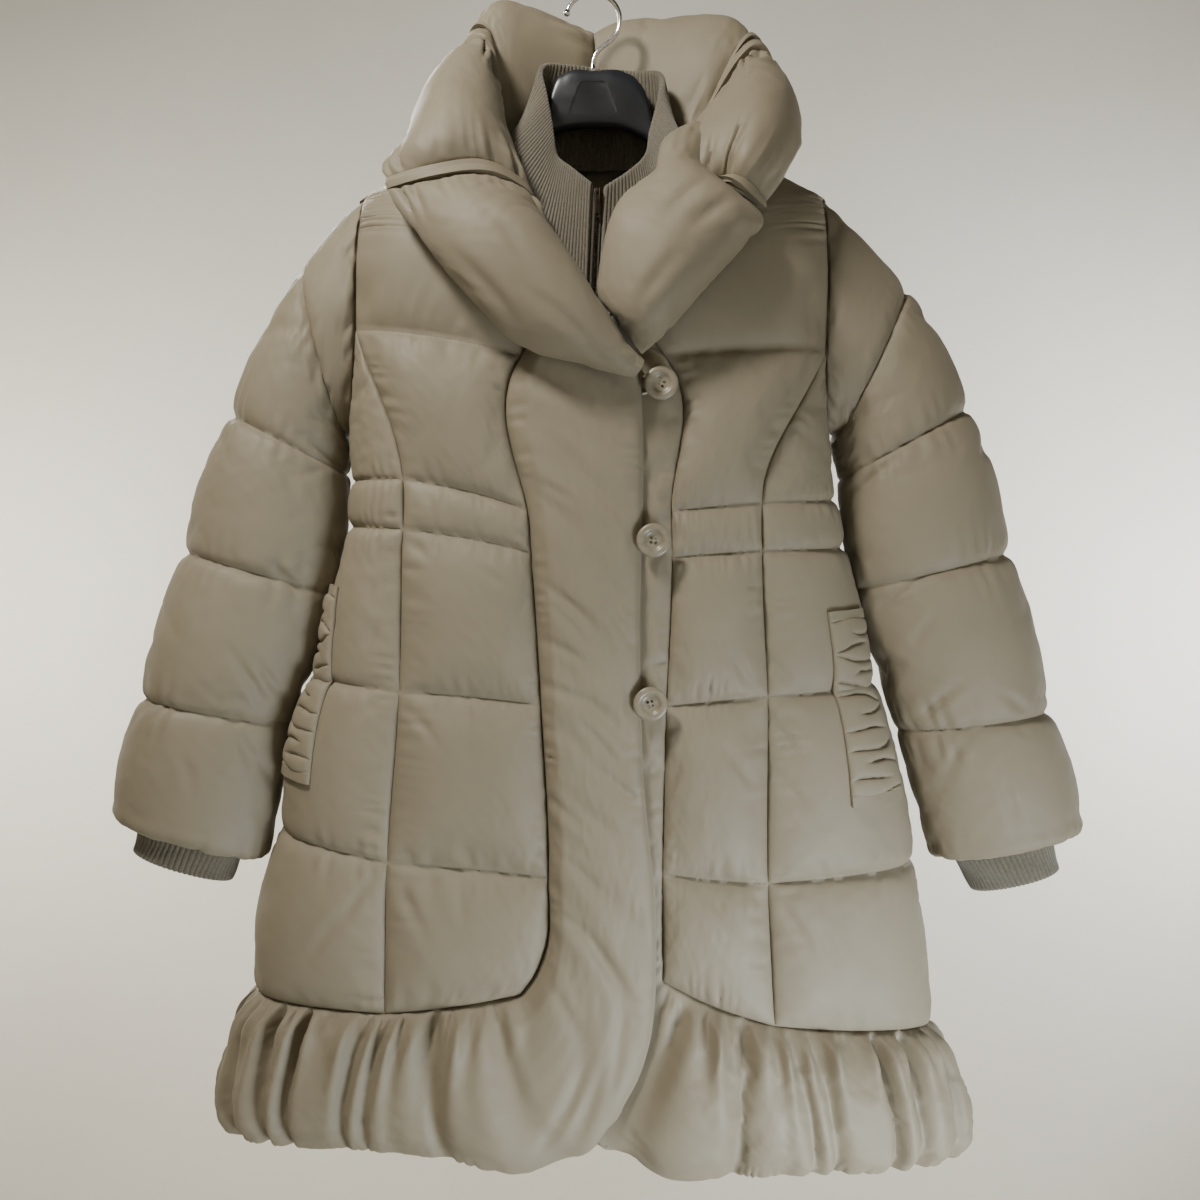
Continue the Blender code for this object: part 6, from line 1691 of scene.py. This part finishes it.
def hanger(look):
    """Moulded hanger, lofted along its length, with a bare sunk plate in its head."""
    angles = 2 * np.pi * np.arange(HANGER_SIDES) / HANGER_SIDES
    first, last = HANGER.rows[0, 0], HANGER.rows[-1, 0]
    places = np.linspace(first, last, HANGER_PLACES)
    round_off, lift = (np.sign(wave) * np.abs(wave) ** HANGER_SQUARE
                       for wave in (np.cos(angles), np.sin(angles)))
    end_length, tip = HANGER_END
    rings = []
    for x in places:
        top, low, half_y, middle_y = (float(HANGER.at(name, x)) for name in HANGER.names[1:])
        end = min(x - first, last - x) / end_length
        shrink = math.sqrt(1 - (1 - min(end, 1)) ** 2) * (1 - tip) + tip
        rings.append(np.stack([np.full(HANGER_SIDES, x), middle_y + half_y * round_off * shrink,
                               (top + low) / 2 + (top - low) / 2 * lift * shrink], -1))
    made = tube_mesh("hanger_body", np.array(rings), look)
    corners = [(-PLATE["foot"], PLATE["foot_z"]), (PLATE["foot"], PLATE["foot_z"]),
               (PLATE["top"], PLATE["top_z"]), (-PLATE["top"], PLATE["top_z"])]
    cutter = prism("plate_recess", round_corners(corners, PLATE_CORNER), np.zeros(3),
                   PLATE_CUTTER, None)
    for point in cutter.data.vertices:
        point.co.y += -PLATE_FACE + PLATE["deep"] - PLATE_CUTTER
    cut(made, cutter)
    soften(made, 0.0004, 2, 50)
    ride_coat(made, "hanger_plastic", "hanger")


def round_corners(corners, radius, steps=6):
    """Outline with an arc of the given radius in place of each corner."""
    outline = []
    for k, corner in enumerate(corners):
        corner = np.array(corner, float)
        before = unit(np.array(corners[k - 1]) - corner)
        after = unit(np.array(corners[(k + 1) % len(corners)]) - corner)
        start, end = corner + before * radius, corner + after * radius
        for t in np.linspace(0, 1, steps):
            outline.append(tuple((1 - t) ** 2 * start + 2 * t * (1 - t) * corner + t * t * end))
    return outline


def hook(look):
    """Open bend over the rail, a swan neck, and a collar where the wire enters the hanger."""
    centre_z = WIRE_RADIUS - HOOK_RADIUS
    bend = [(HOOK_RADIUS * math.cos(a), centre_z + HOOK_RADIUS * math.sin(a))
            for a in np.radians(np.linspace(*HOOK_ARC, 25))]
    path = smooth_path([(x, 0.0, z) for x, z in bend + list(HOOK_NECK)], 4)
    reach = np.linalg.norm(path - path[0], axis=1)
    ball = np.sqrt(np.clip(HOOK_BALL ** 2 - (reach - HOOK_BALL) ** 2, 0, None))
    radius = np.maximum(np.where(reach < HOOK_BALL, ball, np.maximum(ball, WIRE_RADIUS)), 0.0002)
    collar_z, thicker = WIRE_COLLAR
    radius = np.where(path[:, 2] < collar_z, WIRE_RADIUS * thicker, radius)
    ride_coat(tube("hook_wire", path, radius, look, 20), "chrome", "hook")


# ---------------------------------------------------------------- stitches

STITCH = (0.0027, 0.0004, 0.0013)   # length, thickness and the space to the next


def stitch_rows(pad, grid):
    """Lines of stitching: the quilting rows inside a piece, with the way out of the cloth."""
    outward = out_of(pad, grid)
    rows = np.nonzero(pad.sewn.all(1))[0]
    rows = rows[(rows > 0) & (rows < pad.sewn.shape[0] - 1)]
    return [(grid[2 * row], outward[2 * row]) for row in rows]


def stitches(name, lines, look):
    """Thread that shows as a dash, then a gap, along each line."""
    length, thick, space = STITCH
    ends = np.array([[-0.5, 0, 0], [0.5, 0, 0]])
    around = np.array([[0, 0.5, 0], [0, 0, 0.5], [0, -0.5, 0], [0, 0, -0.5]])
    shape = np.concatenate([ends[:1], around + (-0.3, 0, 0), around + (0.3, 0, 0), ends[1:]])
    shape = shape * (length, thick, thick)
    faces = [(0, 1 + (k + 1) % 4, 1 + k) for k in range(4)]
    faces += [(1 + k, 1 + (k + 1) % 4, 5 + (k + 1) % 4, 5 + k) for k in range(4)]
    faces += [(9, 5 + k, 5 + (k + 1) % 4) for k in range(4)]
    places = []
    for line, outward in lines:
        step = np.linalg.norm(np.diff(line, axis=0), axis=1)
        run = np.concatenate([[0], np.cumsum(step)])
        middles = np.arange(length, run[-1] - length, length + space)
        spots, ahead, out = (
            np.stack([np.interp(place, run, axis) for axis in values.T], -1)
            for place, values in ((middles, line), (middles + 0.001, line), (middles, outward)))
        forward = unit(ahead - spots)
        sideways = unit(np.cross(forward, out))
        for spot, a, b in zip(spots + out * thick * 0.6, forward, sideways):
            places.append((spot, np.array([a, b, np.cross(a, b)])))
    ride_coat(copies(name, shape, faces, places, look), "shell")


# ---------------------------------------------------------------- materials


class Look:
    """A material under construction: its nodes, its shader and its bumps."""

    def __init__(self, name, colour, roughness, **constants):
        self.made = bpy.data.materials.new(name)
        self.made.use_nodes = True
        self.nodes, self.links = self.made.node_tree.nodes, self.made.node_tree.links
        self.surface = self.nodes["Principled BSDF"]
        self.surface.inputs["Base Color"].default_value = (*colour, 1)
        self.surface.inputs["Roughness"].default_value = roughness
        for socket, value in constants.items():
            self.surface.inputs[socket.replace("_", " ")].default_value = value
        self.bumped = None

    def place(self, stretch=(1, 1, 1), turn=(0, 0, 0)):
        coordinates = self.nodes.new("ShaderNodeTexCoord")
        mapping = self.nodes.new("ShaderNodeMapping")
        mapping.inputs["Scale"].default_value = stretch
        mapping.inputs["Rotation"].default_value = turn
        self.links.new(coordinates.outputs["Object"], mapping.inputs["Vector"])
        return mapping.outputs["Vector"]

    def noise(self, scale, detail, stretch=(1, 1, 1)):
        pattern = self.nodes.new("ShaderNodeTexNoise")
        pattern.inputs["Scale"].default_value = scale
        pattern.inputs["Detail"].default_value = detail
        self.links.new(self.place(stretch), pattern.inputs["Vector"])
        return pattern.outputs["Fac"]

    def bands(self, scale, lean, distortion):
        pattern = self.nodes.new("ShaderNodeTexWave")
        pattern.inputs["Scale"].default_value = scale
        pattern.inputs["Distortion"].default_value = distortion
        self.links.new(self.place(turn=(0, lean, 0)), pattern.inputs["Vector"])
        return pattern.outputs["Fac"]

    def between(self, fac, low, high, socket, start=0.3, end=0.7):
        ramp = self.nodes.new("ShaderNodeValToRGB")
        ramp.color_ramp.elements[0].position = start
        ramp.color_ramp.elements[1].position = end
        ramp.color_ramp.elements[0].color = (*low, 1)
        ramp.color_ramp.elements[1].color = (*high, 1)
        self.links.new(fac, ramp.inputs["Fac"])
        self.links.new(ramp.outputs["Color"], self.surface.inputs[socket])
        return self

    def bump(self, fac, strength, distance):
        raised = self.nodes.new("ShaderNodeBump")
        raised.inputs["Strength"].default_value = strength
        raised.inputs["Distance"].default_value = distance
        self.links.new(fac, raised.inputs["Height"])
        if self.bumped:
            self.links.new(self.bumped, raised.inputs["Normal"])
        self.bumped = raised.outputs["Normal"]
        self.links.new(self.bumped, self.surface.inputs["Normal"])
        return self

    def tint(self, scale, detail, low, high, stretch=(1, 1, 1), **ramp):
        """Soft patches between two colours."""
        return self.between(self.noise(scale, detail, stretch), low, high, "Base Color", **ramp)

    def polish(self, scale, detail, low, high):
        """Soft patches between two values of the roughness."""
        return self.between(self.noise(scale, detail), (low,) * 3, (high,) * 3, "Roughness")

    def grain(self, scale, detail, strength, distance):
        """Uneven bumps."""
        return self.bump(self.noise(scale, detail), strength, distance)

    def weave(self, scale, lean, strength, distance, distortion=0.0):
        """Even ridges, leaning by an angle."""
        return self.bump(self.bands(scale, lean, distortion), strength, distance)


def looks():
    """Every material by name."""
    made = {
        "shell": Look("shell_cloth", (0.215, 0.180, 0.121), 0.55, Sheen_Weight=0.02,
                      Sheen_Roughness=0.4, Specular_IOR_Level=0.32)
        .tint(7, 4, (0.188, 0.160, 0.110), (0.216, 0.185, 0.130))
        .polish(30, 3, 0.56, 0.66).grain(38, 2, 0.10, 0.0020).grain(1600, 2, 0.05, 0.0003),
        "knit": Look("rib_knit", (0.115, 0.100, 0.072), 0.85, Sheen_Weight=0.35,
                     Sheen_Roughness=0.5, Specular_IOR_Level=0.25)
        .tint(500, 3, (0.095, 0.082, 0.058), (0.135, 0.118, 0.086))
        .weave(260, math.pi / 2, 0.35, 0.0004, 1.5).grain(1400, 3, 0.5, 0.0003),
        "plastic": Look("hanger_plastic", (0.013, 0.014, 0.017), 0.34, Specular_IOR_Level=0.5)
        .polish(60, 4, 0.28, 0.44).tint(9, 2, (0.011, 0.012, 0.015), (0.017, 0.018, 0.022))
        .grain(900, 2, 0.10, 0.0002),
        "chrome": Look("chrome", (0.78, 0.78, 0.79), 0.14, Metallic=1.0)
        .polish(140, 4, 0.08, 0.24).grain(500, 2, 0.03, 0.0002),
        "button": Look("button_resin", (0.20, 0.172, 0.122), 0.36, Coat_Weight=0.05,
                       Coat_Roughness=0.20)
        .tint(120, 4, (0.180, 0.155, 0.108), (0.220, 0.190, 0.136), (1, 1, 3))
        .polish(300, 3, 0.32, 0.42),
        "elastic": Look("elastic_cord", (0.40, 0.36, 0.28), 0.7, Sheen_Weight=0.2)
        .tint(700, 2, (0.35, 0.31, 0.235), (0.45, 0.405, 0.32)).weave(420, 0.7, 0.5, 0.0003),
        "thread": Look("sewing_thread", (0.15, 0.125, 0.088), 0.60, Sheen_Weight=0.10)
        .tint(900, 2, (0.135, 0.112, 0.078), (0.175, 0.147, 0.104))
        .weave(1200, 0.8, 0.4, 0.0001),
        "bronze": Look("dark_bronze", (0.055, 0.044, 0.032), 0.42, Metallic=1.0)
        .tint(420, 4, (0.035, 0.028, 0.020), (0.085, 0.068, 0.048), start=0.35, end=0.75)
        .polish(260, 3, 0.28, 0.48),
        "tape": Look("zip_tape_weave", (0.060, 0.050, 0.036), 0.85, Sheen_Weight=0.2)
        .tint(800, 2, (0.048, 0.040, 0.029), (0.075, 0.063, 0.046))
        .weave(900, 0.78, 0.4, 0.0002),
        "paint": Look("backdrop_paint", (0.78, 0.745, 0.665), 0.9)
        .tint(1.3, 2, (0.755, 0.715, 0.635), (0.80, 0.775, 0.70)).grain(330, 4, 0.35, 0.0020),
    }
    return {name: look.made for name, look in made.items()}


# ---------------------------------------------------------------- light, backdrop and camera

CAMERA = (0.0062, -1.106, -0.5357)
HALF_FRAME = 600 / 1248     # half the frame over the distance: tangent of half the view
ROOM = ((-2.6, -2.6, -2.3), (2.6, 2.3, 1.6))    # corners of the pale studio, open above
SKY = ((0.95, 0.97, 1, 1), 0.035)               # colour and strength of the light all round
LAMPS = (       # name, place, aim, watts, size, spread in degrees and tint
    ("key", (-0.66, -0.72, 0.70), (-0.05, 0, -0.60), 29, 0.24, 180, (1.0, 0.97, 0.91)),
    ("window", (0.75, -0.85, -1.35), (0.15, 0, -0.95), 5, 0.5, 70, (0.82, 0.91, 1.0)),
    ("back", (-0.80, 1.50, 0.70), (0.0, 0, -0.50), 12, 0.6, 120, (1.0, 0.98, 0.95)),
    ("wall_right", (2.2, 1.1, -0.60), (0.7, 2.3, -0.6), 46, 0.5, 150, (0.92, 0.96, 1.0)),
    ("wall_left", (-2.2, 1.1, -0.50), (-0.7, 2.3, -0.6), 30, 0.5, 150, (1.0, 0.96, 0.88)),
)


def stage_and_camera(paint):
    (x0, y0, z0), (x1, y1, z1) = ROOM
    corners = [(x, y, z) for z in (z0, z1) for x, y in ((x0, y0), (x1, y0), (x1, y1), (x0, y1))]
    floor = new_object("floor", corners[:4], [(0, 1, 2, 3)], paint)
    walls = new_object("backdrop", corners, [(k, (k + 1) % 4, (k + 1) % 4 + 4, k + 4)
                                             for k in range(4)], paint)
    world = bpy.data.worlds.new("world")
    bpy.context.scene.world = world
    world.use_nodes = True
    for socket, value in zip(world.node_tree.nodes["Background"].inputs, SKY):
        socket.default_value = value
    for name, spot, aim, energy, size, spread, tint in LAMPS:
        light = bpy.data.lights.new(name, "AREA")
        light.energy, light.size, light.color = energy, size, tint
        light.spread = math.radians(spread)
        lamp = bpy.data.objects.new(name, light)
        bpy.context.scene.collection.objects.link(lamp)
        lamp.location = spot
        lamp.visible_camera = False
        lamp.rotation_euler = (Vector(aim) - lamp.location).to_track_quat("-Z", "Y").to_euler()
    lens = bpy.data.cameras.new("camera")
    lens.angle = 2 * math.atan(HALF_FRAME)
    lens.clip_start = 0.01
    camera = bpy.data.objects.new("camera", lens)
    bpy.context.scene.collection.objects.link(camera)
    camera.location = CAMERA
    camera.rotation_euler = (math.pi / 2, 0, 0)
    bpy.context.scene.camera = camera


# ---------------------------------------------------------------- the model


def build():
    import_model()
    look = looks()
    stage_and_camera(look["paint"])
    pads = []
    for side in ("right", "left"):
        centre, side_panel = centre_front(side), side_front(side)
        pads += [centre, side_panel, front_band(side, centre, side_panel), sleeve(side)]
        pads += [collar_pad(side, *piece) for piece in COLLAR_PIECES[side]]
    back = back_panel()
    pads += [back, back_hem(back)]
    settled = inflate(pads)
    for side in ("right", "left"):
        welt = pocket(side, settled["front_side_" + side])
        pads.append(welt)
        settled[welt.node] = welt.outer
    for pad in pads:
        finish_pad(pad, settled[pad.node], look)
    knit_collar(look["knit"])
    for side in ("right", "left"):
        knit_cuff(side, look["knit"])
    zip_parts(look["bronze"], look["tape"])
    for number, (x, z) in enumerate(BUTTONS, 1):
        button(number, x, z, look["button"], look["thread"])
        elastic_loop(number, x, z, look["elastic"])
    hanger(look["plastic"])
    hook(look["chrome"])


build()
